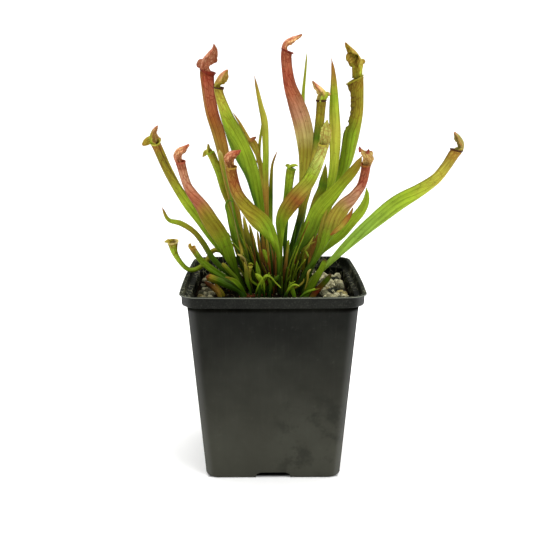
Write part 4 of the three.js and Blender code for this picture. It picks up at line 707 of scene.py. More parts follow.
# Young leaves at the front and among the stems, from the crown to the tip.
YOUNG_LEAVES = [
    blade(10, 0.3, """-7 -14 112 .5, -8 -17 125.3 .6, -8.6 -17.5 128.3 1, -9.4 -18 131.2 .8,
        -10 -18 134.1 .2""", "0 deep, .5 fresh, 1 lime"),
    blade(180, 0.2, """9.6 -20 110 .4, 11.6 -22 116.2 .4, 14 -22.5 118.6 .6, 16.7 -23 120.4 .6,
        18.9 -23 122.6 .5, 19.4 -23 124.6 .2""", "0 deep, .5 olive, 1 straw"),
    blade(180, 0.3, """12 4 108 .6, 16 3 126 .7, 18.6 2 134.1 .7, 19.7 0 137.9 .8, 22.5 -1 140.6 .8,
        24.8 -2 142.5 .7, 27.4 -3 143.8 .3""", "0 deep, .5 green, 1 straw"),
    blade(180, 0.3, """14 3 108 .6, 17.6 2 122 .6, 19.4 1 130.5 .6, 20.5 -1 136.8 .7, 22.8 -2 140.4 .8,
        24.8 -2 144.1 .6, 26.6 -2 147.2 .3""", "0 deep, .5 fresh, 1 yellow"),
    blade(150, 0.3, "13 2 112 .5, 16.9 2 132 .6, 20.5 -1 137.2 .8, 22.1 -4 136 .8, 23.3 -5 133.5 .3",
        "0 deep, .5 olive, 1 fresh"),
    blade(0, 0.3, """-13 -6 110 .6, -18 -8 129.3 .7, -19.7 -9 134.5 .9, -19.3 -9 138.7 1,
        -20.2 -9 142.4 .8, -21.3 -9 146.3 .3""", "0 deep, .4 green, .8 straw, 1 tan"),
    blade(0, 0.3, """-12 -8 110 .5, -16.7 -9 131.2 .6, -18.3 -10 134.8 .8, -20.4 -11 136.6 .8,
        -22.2 -11 137.7 .3""", "0 deep, .5 olive, 1 cream"),
    blade(10, 0.3, """-9.8 -19 108.5 .5, -10.3 -22 114.6 .6, -9 -24 118.6 1, -7.6 -25 121.7 1.2,
        -6.6 -26 124.5 .8, -6.8 -26 126.7 .3""", "0 soot, .35 deep, .6 fresh, 1 lime", least=1),
    blade(10, 0.4, "-1 -20 108.5 .5, -1.8 -22 114.5 .6, -1.2 -23 120 1, -2.6 -24 125 .9, -2.2 -24 129 .3",
        "0 soot, .4 deep, 1 fresh", least=0.9),
    blade(0, 0.4, """7 -21 108.5 .5, 7.3 -23 113.1 .6, 9.7 -24 117.2 .9, 10.7 -25 121 .8,
        13.8 -26 123.6 .3""", "0 soot, .4 deep, 1 fresh", least=0.9),
    blade(0, 0.4, "15 -21 108.5 .5, 17.6 -23 113 .6, 21 -24 115.8 1, 25.6 -25 117.9 1, 29.3 -25 118.8 .3",
        "0 deep, .5 green, .8 fresh, 1 tan", least=1),
    blade(180, 0.4, """-15 -17 108.5 .7, -17.8 -20 115.3 .7, -20.2 -22 119.7 1.3, -23.2 -23 123.2 1.5,
        -26.9 -24 125.4 .8, -29.3 -24 126 .2""", "0 deep, .5 green, .8 fresh, 1 tan", least=1),
    blade(170, 0.3, """-12.6 -16 108.5 .7, -14.1 -18 116.1 .7, -16 -18 122.6 1.2, -16.5 -18 129 1.1,
        -17.7 -18 134.1 .3""", "0 deep, .5 green, 1 straw", least=1),
    blade(0, 0.2, """-12 12 108 .9, -16 12 128 .9, -20.5 12 144 .9, -24.3 12 158.4 .9, -26.7 12 171.6 .9,
        -29.8 12 184.7 1, -31.9 12 193 1.2, -33.1 12 197.2 1.8, -33.7 12 199.8 1.7, -33.7 12 201 .4""",
        "0 soot, .4 green, .8 fresh, .93 straw, 1 cream", least=0.8),
    blade(10, 0.4, """-4.7 -20 108.5 .5, -5.3 -23 116.1 .6, -5.9 -24 121.5 1.2, -7.8 -25 124.9 1.9,
        -9.3 -25 126.9 1.5, -10.5 -25 128.4 .3""", "0 soot, .35 deep, .6 fresh, 1 lime", least=1),
    blade(0, 0.4, """-7.1 -19 108.5 .5, -7.8 -22 118.4 .6, -5.9 -23 123.2 1.2, -3.8 -24 126 1.5,
        -1.3 -24 127.1 .5""", "0 soot, .35 deep, .6 fresh, 1 lime", least=1),
    blade(170, 0.3, """-7.3 -18 108.5 .5, -8.1 -21 123.3 .6, -8.8 -21 128.4 1.2, -9.5 -21 132.2 1,
        -10.1 -21 135.4 .2""", "0 deep, .5 green, 1 fresh", least=0.9),
    blade(0, 0.3, """8.5 -21 108.5 .5, 8.9 -24 115.7 .6, 11 -25 119.2 1.3, 13.4 -26 121.3 .9,
        16.5 -26 120.7 .3""", "0 soot, .35 deep, .6 fresh, 1 lime", least=1),
    blade(0, 0.4, """-2.5 -17 108.5 .7, -2.9 -20 115.3 .8, -.4 -21 120.7 1.8, 2.1 -22 124.2 1.4,
        4 -22 126.7 .3""", "0 soot, .5 deep, 1 green", least=0.8),
    blade(0, 0.2, "-5.8 2 108.5 .9, -6.4 2 120.1 1, -7.5 2 132.8 1.1, -8.7 2 142.7 1, -9.5 2 149.9 .5",
        "0 brown, .3 tan, .7 tan, 1 olive", least=0.8),
    blade(10, 0.2, """-3.6 6 108.5 1, -4.1 6 119.1 1.1, -4.7 6 131.3 1.3, -5.7 6 140.6 1.2,
        -6.6 6 147.9 .5""", "0 brown, .5 tan, .8 tan, 1 olive", least=0.8),
    blade(-10, 0.2, "-.9 1 108.5 .9, -1.2 1 120.4 1, -1.8 1 132.4 1.2, -2.9 1 140.3 1, -4 1 146.2 .4",
        "0 brown, .4 tan, 1 straw", least=0.8),
    blade(0, 0.2, "1.3 4 108.5 .8, 1.2 4 119.6 .9, .3 4 131.7 1, -1 4 139 .5",
        "0 brown, .6 brown, 1 tan", least=0.6),
    blade(0, 0.3, """-2.1 -2 108.5 .6, -2.5 -2 123.8 .7, -3.1 -3 130.6 1.2, -4.3 -3 135.2 1.4,
        -5.6 -3 138.2 1.2, -6.1 -3 138.8 .4""", "0 deep, .5 fresh, 1 lime", least=0.9),
    blade(0, 0.5, """-3.6 -3 108.5 .4, -4.1 -3 126.7 .4, -3.4 -4 128.9 1, -3.9 -4 130.5 .7,
        -4.2 -4 131.5 .2""", "0 brown, .5 amber, 1 rust", least=1),
    blade(180, 0.3, "19.5 4 108.5 .9, 20.7 4 128.9 1, 23.6 4 136.9 1.9, 25.8 4 143.5 1.6, 27 4 149.5 .4",
        "0 brown, .5 olive, .8 tan, 1 brown", least=0.9),
    blade(180, 0.3, "22.4 2 108.5 .7, 23.9 2 129.4 .8, 26.1 2 137.4 1.2, 28.2 2 143.9 1, 29.5 2 148.5 .3",
        "0 brown, .5 tan, 1 rust", least=0.9),
]

# Tones of the shoots at seeded places.
SHOOT_TONES = [
    "0 soot, .5 deep, 1 green",
    "0 soot, .4 green, .8 fresh, 1 tan",
    "0 brown, .6 rust, 1 olive",
    "0 deep, .5 green, 1 fresh",
    "0 deep, .4 fresh, 1 lime",
]

# Beds of grit: x from, x to, y from, y to.
GRIT_BEDS = {
    "grit_left": (-47.6, -35, -32, 30),
    "grit_right": (30, 47.6, -32, 34),
    "grit_front": (-36, 36, -47.6, -34),
    "grit_back": (-36, 36, 38, 47.6),
}
GRIT_SHADE = {"grit_left": 0.5}
GRIT_TONES = ["pale pumice", "pale pumice", "sandy pumice", "grey pumice", "dark stone", "pale pumice"]
CRUMB_TONES = [
    "peat", "dusty peat", "peat", "brown", "soot", "dusty peat", "deep", "peat", "grey pumice", "bark"
]

# The pot's outline: height, half width, corner radius and bow of the sides.
# The collar goes from the ledge to the lip, and the neck back down inside.
# Levels are the heights of the wall's rows, and the underside's rows come first.
COLLAR = """113.4 51 9 .7, 113.9 51.15 9 .8, 114.2 51.9 9.2 1, 114.4 52.8 9.4 1.2, 114.8 53.35 9.5 bow,
    115.4 53.6 9.5 bow, 118 53.65 9.5 bow, 120.1 53.75 9.5 bow, 120.55 53.95 9.6 bow, 120.65 54.6 10 bow,
    120.85 54.92 10.3 bow, 121.15 55 10.5 bow, 121.4 54.85 10.4 bow"""
NECK = """121.5 54.5 10.2 bow, 121.5 53.1 9.3 bow, 121.35 52.7 9 bow, 120.8 52.5 8.8 bow, 118 52.4 8.7 bow,
    116.1 52.3 8.7 bow, 115.6 52 8.6 1.2, 115.3 51 8.4 .9, 115 50.1 8.1 .7, 114.4 49.9 8 .7"""
UNDERSIDE_ROWS = 4
OUTSIDE_LEVELS = (3, 4.2, 8, 16, 28, 42, 58, 74, 90, 102, 110)
INSIDE_LEVELS = (110, 100, 80, 60, 30, 8, 3.2)

# The peat's block below its top: height and half width.
SOIL_BLOCK = "104 49.1, 60 44.6, 4 40.4, 2.2 38.9, 2 19.4"


def smooth(low, high, value):
    """0 below low, 1 above high and 3t2 - 2t3 between them."""
    t = np.clip((value - low) / (high - low), 0, 1)
    return t * t * (3 - 2 * t)


def mixed(low, high, share):
    """The first colour times one minus the share, plus the second times it."""
    return np.asarray(low) * (1 - share) + np.asarray(high) * share


def unit(vectors):
    """Each row divided by its length."""
    return vectors / np.linalg.norm(vectors, axis=-1, keepdims=True)


def stacked(*columns):
    """The columns side by side, each stretched to the shape of the others."""
    return np.stack(np.broadcast_arrays(*columns), axis=-1)


def round_turn(count):
    """Angles of the points of a ring, as one row."""
    return np.linspace(0, 2 * math.pi, count, endpoint=False)[None, :]


def swept(centre, *moves):
    """Rings of points about a line of centres. Each move is a direction for
    each ring with a distance for each of its points."""
    points = centre[:, None]
    for direction, distance in moves:
        points = points + direction[:, None] * distance[..., None]
    return points


def spline(line, t):
    """A uniform Catmull-Rom curve through the rows, for t from 0 to 1. Its end
    slopes come from one more row at each end, laid out straight."""
    padded = np.vstack([2 * line[:1] - line[1:2], line, 2 * line[-1:] - line[-2:-1]])
    place = np.clip(t, 0, 1) * (len(line) - 1)
    k = np.minimum(place.astype(int), len(line) - 2)
    s = (place - k)[:, None]
    a, b, c, d = padded[k], padded[k + 1], padded[k + 2], padded[k + 3]
    slope_in = (c - a) / 2
    slope_out = (d - b) / 2
    cubic = (2 * b - 2 * c + slope_in + slope_out) * s**3
    square = (3 * c - 3 * b - 2 * slope_in - slope_out) * s**2
    return cubic + square + slope_in * s + b


def slope(line, t, step):
    """The change of a spline from one step before each t to one step after."""
    return spline(line, np.clip(t + step, 0, 1)) - spline(line, np.clip(t - step, 0, 1))


def walk(route, side, face, share):
    """The centre, directions, half width and length of a leaf at shares of its
    length. Forward is square to the path and to a level line that is turned
    from side to face over the upper half; across is square to both."""
    even = np.linspace(0, 1, 1200)
    steps = np.linalg.norm(np.diff(spline(route, even)[:, :3], axis=0), axis=1)
    reach = np.concatenate([[0], np.cumsum(steps)])
    t = np.interp(share, reach / reach[-1], even)
    here = spline(route, t)
    along = unit(slope(route, t, 1e-3)[:, :3])
    angle = np.radians(side + (face - side) * smooth(*TURN_SHARES, share))
    level = np.stack([np.sin(angle), np.cos(angle), np.zeros_like(angle)], axis=1)
    forward = unit(np.cross(level, along))
    across = unit(np.cross(along, forward))
    return here[:, :3], along, forward, across, np.maximum(0.3, here[:, 3]), reach[-1]


def mouth(pitcher, face):
    """The centre and directions at a pitcher's mouth, as one row each."""
    return walk(pitcher["route"], pitcher["side"], face, np.array([1.0]))[:4]


def blend_tones(text, share, count):
    """The colour at each share for each of count points, straight between the
    stops of a text such as "0 soot, .5 green, 1 lime"."""
    stops = [stop.split() for stop in text.split(",")]
    places = [float(place) for place, _ in stops]
    tones = np.array([TONES[name] for _, name in stops])
    line = np.stack([np.interp(share, places, column) for column in tones.T], axis=-1)
    return line[:, None] * np.ones((1, count, 1))


def rumple(points, seed, size, count=10):
    """A smooth random value at each point, mostly from -1 to 1: the sum of sine
    waves of random direction, each about size millimetres long, over one and a
    half times the square root of their count."""
    random = np.random.default_rng(seed)
    waves = random.normal(size=(count, 3)) * (2 * math.pi / size) * 0.6
    shifts = random.uniform(0, 2 * math.pi, count)
    return np.sin(points @ waves.T + shifts).sum(-1) / math.sqrt(count) / 1.5


def shaded_low(tint, points, least):
    """A tint darkened where leaves crowd together: to its least share at the
    soil in the middle of the clump. All the rest of it comes back with the
    height above the soil, and six tenths with the distance from the middle."""
    height = smooth(*SHADE_HEIGHTS, points[..., 2])
    away = smooth(*SHADE_DISTANCES, np.hypot(points[..., 0] - CLUMP[0], points[..., 1] - CLUMP[1]))
    share = least + (1 - least) * np.clip(height + away * SHADE_AWAY, 0, 1)
    return tint * share[..., None]


class Skin:
    """Points, faces and colours of one closed surface, in millimetres. The
    pattern holds three numbers a point for the material to draw with."""

    def __init__(self, points, faces, tint, pattern):
        self.points = points
        self.faces = faces
        self.tint = tint
        self.pattern = pattern

    def outward(self):
        """The same surface with its faces turned out: where the signed volume,
        the sum of each corner triple product over six, is below 0, each face's
        order of corners is turned round."""
        a, b, c, d = (self.points[self.faces[:, k]] for k in range(4))
        volume = np.einsum("ij,ij->i", a, np.cross(b, c)) + np.einsum("ij,ij->i", a, np.cross(c, d))
        if volume.sum() < 0:
            self.faces = self.faces[:, ::-1]
        return self


def wrapped(rings, tint, pattern):
    """A closed skin over rings of points, each end drawn to its middle. The
    grid is rings by points, and face k joins points k and k+1 of two rings."""
    first, last = (end.mean(axis=1, keepdims=True) + 0 * end for end in (rings[:1], rings[-1:]))
    rings = np.concatenate([first, rings, last])
    tint, pattern = (np.concatenate([part[:1], part, part[-1:]]) for part in (tint, pattern))
    grid = np.arange(rings.shape[0] * rings.shape[1]).reshape(rings.shape[:2])
    beside = np.roll(grid, -1, axis=1)
    faces = np.stack([grid[:-1], beside[:-1], beside[1:], grid[1:]], axis=-1).reshape(-1, 4)
    return Skin(rings.reshape(-1, 3), faces, tint.reshape(-1, 3), pattern.reshape(-1, 3)).outward()


def joined(skins):
    """One skin of several, each keeping its own points."""
    starts = np.cumsum([0] + [len(s.points) for s in skins[:-1]])
    faces = np.vstack([s.faces + start for s, start in zip(skins, starts)])
    columns = zip(*((s.points, s.tint, s.pattern) for s in skins))
    points, tint, pattern = (np.vstack(column) for column in columns)
    return Skin(points, faces, tint, pattern)


def linked(name, data):
    """A new object in the scene."""
    shown = bpy.data.objects.new(name, data)
    bpy.context.scene.collection.objects.link(shown)
    return shown


def weld(mesh):
    """Merges points closer than a hundredth of a millimetre, so that each
    drawn-in end of a skin becomes a fan about one point."""
    work = bmesh.new()
    work.from_mesh(mesh)
    bmesh.ops.remove_doubles(work, verts=work.verts, dist=MERGE_REACH)
    work.to_mesh(mesh)
    work.free()


def piece(name, skin, material, node):
    """A mesh object from a skin, riding on the part in place of a CAD node, where
    one is named. A face whose last corner is doubled goes in as a triangle.
    Doubled points are merged, and tint and pattern go in as attributes."""
    mesh = bpy.data.meshes.new(name)
    mesh.vertices.add(len(skin.points))
    mesh.vertices.foreach_set("co", (skin.points * MM).astype(np.float32).ravel())
    corners = np.ones(skin.faces.shape, bool)
    corners[:, 3] = skin.faces[:, 3] != skin.faces[:, 2]
    loops = skin.faces[corners].astype(np.int32)
    starts = np.cumsum(corners.sum(1)) - corners.sum(1)
    mesh.loops.add(len(loops))
    mesh.loops.foreach_set("vertex_index", loops)
    mesh.polygons.add(len(skin.faces))
    mesh.polygons.foreach_set("loop_start", starts.astype(np.int32))
    mesh.polygons.foreach_set("use_smooth", np.ones(len(skin.faces), bool))
    tint = mesh.attributes.new("tint", "FLOAT_COLOR", "POINT")
    with_alpha = np.hstack([skin.tint, np.ones((len(skin.tint), 1))])
    tint.data.foreach_set("color", with_alpha.astype(np.float32).ravel())
    pattern = mesh.attributes.new("pattern", "FLOAT_VECTOR", "POINT")
    pattern.data.foreach_set("vector", skin.pattern.astype(np.float32).ravel())
    mesh.update(calc_edges=True)
    weld(mesh)
    mesh.materials.append(material)
    shown = linked(name, mesh)
    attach(shown, "root")
    if node:
        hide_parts(node)


# Materials


class Wire:
    """A number in a material's node tree. Arithmetic on it adds Math nodes."""

    def __init__(self, graph, socket):
        self.graph = graph
        self.socket = socket

    def maths(self, operation, *others):
        """This number with others, through one Math node."""
        node = self.graph.tree.nodes.new("ShaderNodeMath")
        node.operation = operation
        for k, value in enumerate((self, *others)):
            self.graph.feed(node.inputs[k], value)
        return Wire(self.graph, node.outputs[0])

    def __add__(self, other):
        return self.maths("ADD", other)

    def __mul__(self, other):
        return self.maths("MULTIPLY", other)

    def __sub__(self, other):
        return self.maths("SUBTRACT", other)

    def __rsub__(self, other):
        return (self * -1) + other

    def __truediv__(self, other):
        return self.maths("DIVIDE", other)

    __radd__ = __add__
    __rmul__ = __mul__

    def step(self, low, high):
        """0 below low and 1 above high, smooth between, as smooth() above."""
        node = self.graph.node("ShaderNodeMapRange", {"interpolation_type": "SMOOTHSTEP"}, Value=self)
        node.inputs["From Min"].default_value = low
        node.inputs["From Max"].default_value = high
        return Wire(self.graph, node.outputs[0])

    def lines(self, pitch):
        """1 on thin lines a pitch apart and 0 between them."""
        return 1 - (self / pitch).maths("PINGPONG", 0.5).step(*LINE_EDGE)


class Finish:
    """A material with one Principled shader, and the nodes that feed it. A
    colour mix has its share and its two colours at the sockets numbered here."""

    MIX_INPUTS = (0, 6, 7)
    MIX_OUTPUT = 2

    def __init__(self, name, **constants):
        self.material = bpy.data.materials.new(name)
        self.material.use_nodes = True
        self.tree = self.material.node_tree
        self.shader = self.tree.nodes["Principled BSDF"]
        for key, value in constants.items():
            self.shader.inputs[key.replace("_", " ")].default_value = value

    def feed(self, socket, value):
        """Links a wire to a socket, or sets the socket to a plain value."""
        if isinstance(value, Wire):
            self.tree.links.new(value.socket, socket)
        elif isinstance(value, tuple) and len(value) == 3 and socket.type == "RGBA":
            socket.default_value = (*value, 1)
        else:
            socket.default_value = value

    def node(self, kind, settings=None, **inputs):
        """Any node, with its settings and its inputs by name."""
        node = self.tree.nodes.new(kind)
        for key, value in (settings or {}).items():
            setattr(node, key, value)
        for key, value in inputs.items():
            self.feed(node.inputs[key], value)
        return node

    def attribute(self, name, output):
        """An attribute of the piece."""
        return Wire(self, self.node("ShaderNodeAttribute", {"attribute_name": name}).outputs[output])

    def place(self):
        """The point on the piece, in metres."""
        return Wire(self, self.node("ShaderNodeTexCoord").outputs["Object"])

    def parts(self, vector):
        """The three numbers of a vector."""
        node = self.node("ShaderNodeSeparateXYZ", Vector=vector)
        return [Wire(self, node.outputs[k]) for k in range(3)]

    def vector(self, x, y, z):
        """A vector of three numbers."""
        return Wire(self, self.node("ShaderNodeCombineXYZ", X=x, Y=y, Z=z).outputs[0])

    def noise(self, place, scale, detail=3.0, roughness=0.55):
        """Fractal noise about 0.5."""
        inputs = {"Vector": place, "Scale": scale, "Detail": detail, "Roughness": roughness}
        return Wire(self, self.node("ShaderNodeTexNoise", **inputs).outputs[0])

    def cracks(self, place, scale, low, high):
        """1 on the borders between random cells and 0 inside them."""
        node = self.node("ShaderNodeTexVoronoi", {"feature": "DISTANCE_TO_EDGE"}, Vector=place, Scale=scale)
        return 1 - Wire(self, node.outputs["Distance"]).step(low, high)

    def mix(self, share, low, high, how="MIX"):
        """The low colour where share is 0 and the high colour where it is 1."""
        node = self.node("ShaderNodeMix", {"data_type": "RGBA", "blend_type": how})
        for index, value in zip(self.MIX_INPUTS, (share, low, high)):
            self.feed(node.inputs[index], value)
        return Wire(self, node.outputs[self.MIX_OUTPUT])

    def times(self, base, filter_tone):
        """One colour multiplied by another."""
        return self.mix(1.0, base, filter_tone, "MULTIPLY")

    def show(self, base, roughness, relief=None, strength=0.3, distance=0.0004):
        """Feeds the shader its colour, roughness and relief."""
        self.feed(self.shader.inputs["Base Color"], base)
        self.feed(self.shader.inputs["Roughness"], roughness)
        if relief is not None:
            bump = self.node("ShaderNodeBump", Strength=strength, Distance=distance, Height=relief)
            self.tree.links.new(bump.outputs[0], self.shader.inputs["Normal"])
        return self.material


def leaf_finish(name, vein_dark, net, spots, gloss):
    """Leaf skin: its tint with darker veins and hairlines along it and streaks,
    a net of veins towards the mouth, a finer lace on the hood, blotches of
    light and dark, small spots and a soft shine. The pattern's numbers are
    millimetres along and around, and 0 at the soil to 1 on the hood."""
    skin = Finish(name, Specular_IOR_Level=0.1, Coat_Weight=0.025, Coat_Roughness=0.22)
    tint = skin.attribute("tint", "Color")
    along, around, top = skin.parts(skin.attribute("pattern", "Vector"))
    place = skin.place()
    waver = skin.noise(place, WAVER_SCALE, 2.0)
    fine = skin.noise(place, FINE_SCALE, 2.0)
    strand = around + (waver - 0.5) * 0.7
    veins = strand.lines(VEIN_PITCH)
    hairs = (strand * 1.6 + fine * 0.7).lines(1.0)
    streak = skin.noise(skin.vector(around * 0.8, along * 0.03, top), 1.0, 3.0, 0.65)
    on_hood = top.step(0.96, 0.99)
    net_place = skin.vector(along * 0.16, around * 0.62, 0.0)
    webbing = skin.cracks(net_place, 1.0, 0.0, 0.09) * top.step(0.25, 0.95)
    fan = (around + (waver - 0.5) * 0.9).lines(FAN_PITCH) * on_hood * 1.3
    lace_place = skin.vector(along * 0.3, around * 0.5 + waver * 0.6, 5.0)
    lace = skin.cracks(lace_place, 1.0, 0.02, 0.2) * on_hood
    webbing = webbing.maths("MAXIMUM", fan * 0.5).maths("MAXIMUM", lace)
    blotch = skin.noise(place, BLOTCH_SCALE, 4.0, 0.6)
    fleck = skin.noise(place, FLECK_SCALE, 3.0).step(0.6, 0.7) * spots
    lit = skin.mix(blotch.step(0.3, 0.7), DARK_BLOTCH, LIGHT_BLOTCH)
    streaks = skin.mix(streak.step(0.32, 0.68), DARK_STREAK, LIGHT_STREAK)
    streaky = skin.times(skin.times(tint, lit), streaks)
    grained = skin.mix(hairs * 0.5, streaky, skin.times(streaky, HAIRLINE))
    veined = skin.mix(veins * waver.step(0.25, 0.6) * 0.52, grained, skin.times(grained, vein_dark))
    netted = skin.mix(webbing * net, veined, skin.times(streaky, NET_VEIN))
    flecked = skin.mix(fleck, netted, LEAF_SPOT)
    rough = gloss + 0.1 + blotch * 0.14 + fine * 0.1
    relief = veins * -0.6 - hairs * 0.2 + fine * 0.35 + webbing * -0.4
    return skin.show(flecked, rough, relief, 0.5, 0.00025)


def pot_finish():
    """Moulded black plastic: darker at the collar, and lighter down the wall with
    painted light from the floor, with faint upright drag marks, dusty scuffs, dark
    smudges low on the right, a painted shadow under the collar, and a painted
    highlight, partly dust, on the lip and its outer edge. Inside it is duller and
    darker with painted shade, with pale lines that are partly root threads and
    partly painted reflection, and black with painted shade down at the foot. The tint is 1 outside and 0
    inside and underneath. The coat shines at the corners and on the lip."""
    pot = Finish("pot_plastic", Specular_IOR_Level=0.0, Coat_Roughness=0.36)
    outside = pot.parts(pot.attribute("tint", "Color"))[0]
    inside = 1 - outside
    place = pot.place()
    x, y, z = pot.parts(place)
    height = z.step(*BOUNCE_LIGHT_FADE)
    on_collar = z.step(*COLLAR_START)
    lip = z.step(*LIP_START)
    # The band of painted shadow under the collar's ledge
    ledge = z.step(*LEDGE_SHADOW_START) * (1 - z.step(*LEDGE_SHADOW_END))
    cloud = pot.noise(place, 26, 4.0, 0.62)
    drag = pot.noise(pot.vector(x * 900, y * 900, z * 14), 1.0, 3.0)
    grain = pot.noise(place, 2600, 2.0)
    dust = pot.noise(place, 210, 5.0, 0.7).step(0.6, 0.78)
    speck = pot.noise(place, 1300, 3.0, 0.7).step(0.5, 0.68)
    low_right = x.step(*SMUDGE_LEFT) * (1 - z.step(*SMUDGE_END))
    smudge = pot.noise(place, 44, 5.0, 0.68).step(0.5, 0.64) * low_right
    # Pale lines inside: partly root threads, partly painted reflection
    roots = pot.cracks(pot.vector(x * 230, y * 230, z * 130), 1.0, 0.0, 0.055) * cloud.step(0.4, 0.52)
    # Painted light: the wall lighter towards the foot, as lit from the floor
    base = pot.mix(height, TONES["floor lit wall"], TONES["dark wall"])
    for share, tone in (
        (on_collar, TONES["collar"]),
        (ledge * 0.85, LEDGE_SHADE),
        ((cloud - 0.4) * 0.46 * (1 - height * 0.5), TONES["scuff"]),
        (drag.step(0.5, 0.8) * 0.03, TONES["scuff"]),
        (dust * 0.1, TONES["scuff"]),
        (smudge * 0.42, TONES["dark wall"]),
        (speck * on_collar * 0.16, TONES["scuff"]),
        # The lip's top made lighter: partly painted highlight, partly dust
        (lip * (0.08 + dust * 0.3), TONES["scuff"]),
        # Painted highlight along the lip's outer edge, stronger where dusty
        (z.step(*LIP_HIGHLIGHT) * outside * (0.55 + dust * 0.4), TONES["lip highlight"]),
    ):
        base = pot.mix(share, base, tone)
    # Painted shade inside the pot
    base = pot.mix(inside, base, pot.times(base, POT_INSIDE_SHADE))
    # Painted black shade down at the foot, inside and underneath
    base = pot.mix(inside * (1 - z.step(*FOOT_SHADE_END)), base, BLACK)
    # Pale lines inside: partly root threads, partly painted reflection
    base = pot.mix(roots * inside * (0.66 + dust * 0.3), base, TONES["grey pumice"])
    across, back = x.maths("ABSOLUTE"), y.maths("ABSOLUTE")
    corner = (across.maths("MINIMUM", back) / across.maths("MAXIMUM", back)).step(0.86, 0.97)
    coat = (corner * 0.35 + lip * 0.3 + 0.12) * outside + inside * 0.06 + dust * 0.02
    # No coat in the painted shadow under the collar
    pot.feed(pot.shader.inputs["Coat Weight"], coat * (1 - ledge))
    rough = 0.4 + cloud * 0.16 + dust * 0.12 + grain * 0.06
    return pot.show(base, rough, grain * 0.5 + drag * 0.12 + cloud * 0.8, 0.22, 0.00022)


def peat_finish():
    """Wet peat: its tint, with dry fibres, dark pits and a patchy wet shine."""
    peat = Finish("wet_peat", Specular_IOR_Level=0.0)
    place = peat.place()
    x, y, z = peat.parts(place)
    fibre = peat.noise(peat.vector(x * 1500, y * 260, z * 700), 1.0, 3.0)
    crumb = peat.noise(place, 520, 5.0, 0.7)
    wet = peat.noise(place, 90, 3.0).step(0.4, 0.65)
    base = peat.mix(crumb.step(0.35, 0.75), PEAT_PIT, peat.attribute("tint", "Color"))
    stringy = peat.mix(fibre.step(0.6, 0.72) * 0.45, base, TONES["dusty peat"])
    return peat.show(stringy, 0.85 - wet * 0.4, crumb + fibre * 0.5, 0.8, 0.0009)


def stone_finish():
    """Pumice: each grain's tint, pitted, darker in its pits with painted shade, and with a dusting of peat in
    its hollows.
    """
    stone = Finish("pumice_grit", Specular_IOR_Level=0.08)
    tint = stone.attribute("tint", "Color")
    place = stone.place()
    pits = stone.noise(place, 1100, 4.0, 0.75)
    dirt = stone.noise(place, 260, 4.0, 0.65).step(0.42, 0.66)
    holes = stone.cracks(place, 800, 0.0, 0.26)
    shaded = stone.mix(pits.step(0.3, 0.7), stone.times(tint, PUMICE_PIT_SHADE), tint)
    soiled = stone.mix(dirt * 0.6, shaded, TONES["dusty peat"])
    return stone.show(soiled, 0.82 + pits * 0.15, pits + holes * -0.5, 0.95, 0.0006)


def bark_finish():
    """Rhizome: reddish brown, with dark cracks and a rough grain."""
    bark = Finish("rhizome_bark", Specular_IOR_Level=0.06)
    tint = bark.attribute("tint", "Color")
    place = bark.place()
    cracks = bark.cracks(place, 420, 0.0, 0.16)
    grain = bark.noise(place, 700, 4.0, 0.65)
    base = bark.mix(grain.step(0.3, 0.7), bark.times(tint, BARK_GRAIN), tint)
    cracked = bark.mix(cracks * 0.7, base, BARK_CRACK)
    return bark.show(cracked, 0.5 + grain * 0.3, grain - cracks, 0.7, 0.0007)


def floor_finish():
    """Pale paper that glows a little, and black with no glow where the pot stands on it: a painted shadow."""
    paper = Finish("floor_paper", Emission_Strength=0.09)
    place = paper.place()
    x, y, _ = paper.parts(place)
    grain = paper.noise(place, 6, 2.0)
    # Painted shadow: black where the pot stands, and not glowing there
    under = 1 - x.maths("ABSOLUTE").maths("MAXIMUM", y.maths("ABSOLUTE")).step(*POT_SHADOW_EDGE)
    pale = paper.mix(grain * 0.05, TONES["floor"], PAPER_SHADE)
    paper.feed(paper.shader.inputs["Emission Color"], paper.mix(under, WHITE, BLACK))
    return paper.show(paper.mix(under, pale, BLACK), 0.8)


# Leaves


def pitcher_section(half, tube, turn):
    """Forward and across distances of a tube with a keel. Forward runs as the
    cosine of the turn times the half width. Across is a circle behind and a
    thin keel in front, joined as the 2.4th root of their 2.4th powers."""
    forward = half * np.cos(turn)
    behind = tube - half
    circle = np.sqrt(np.clip(tube**2 - (forward - behind) ** 2, 0, None))
    rounding = np.sqrt(1 - np.clip((forward - half + KEEL_EDGE) / KEEL_EDGE, 0, 1) ** 2)
    keel = (KEEL_HALF + 0.05 * tube) * smooth(-0.6, 0.9, (forward - behind) / tube) * rounding
    across = (circle**2.4 + keel**2.4) ** (1 / 2.4) * np.sign(np.sin(turn))
    return forward, across


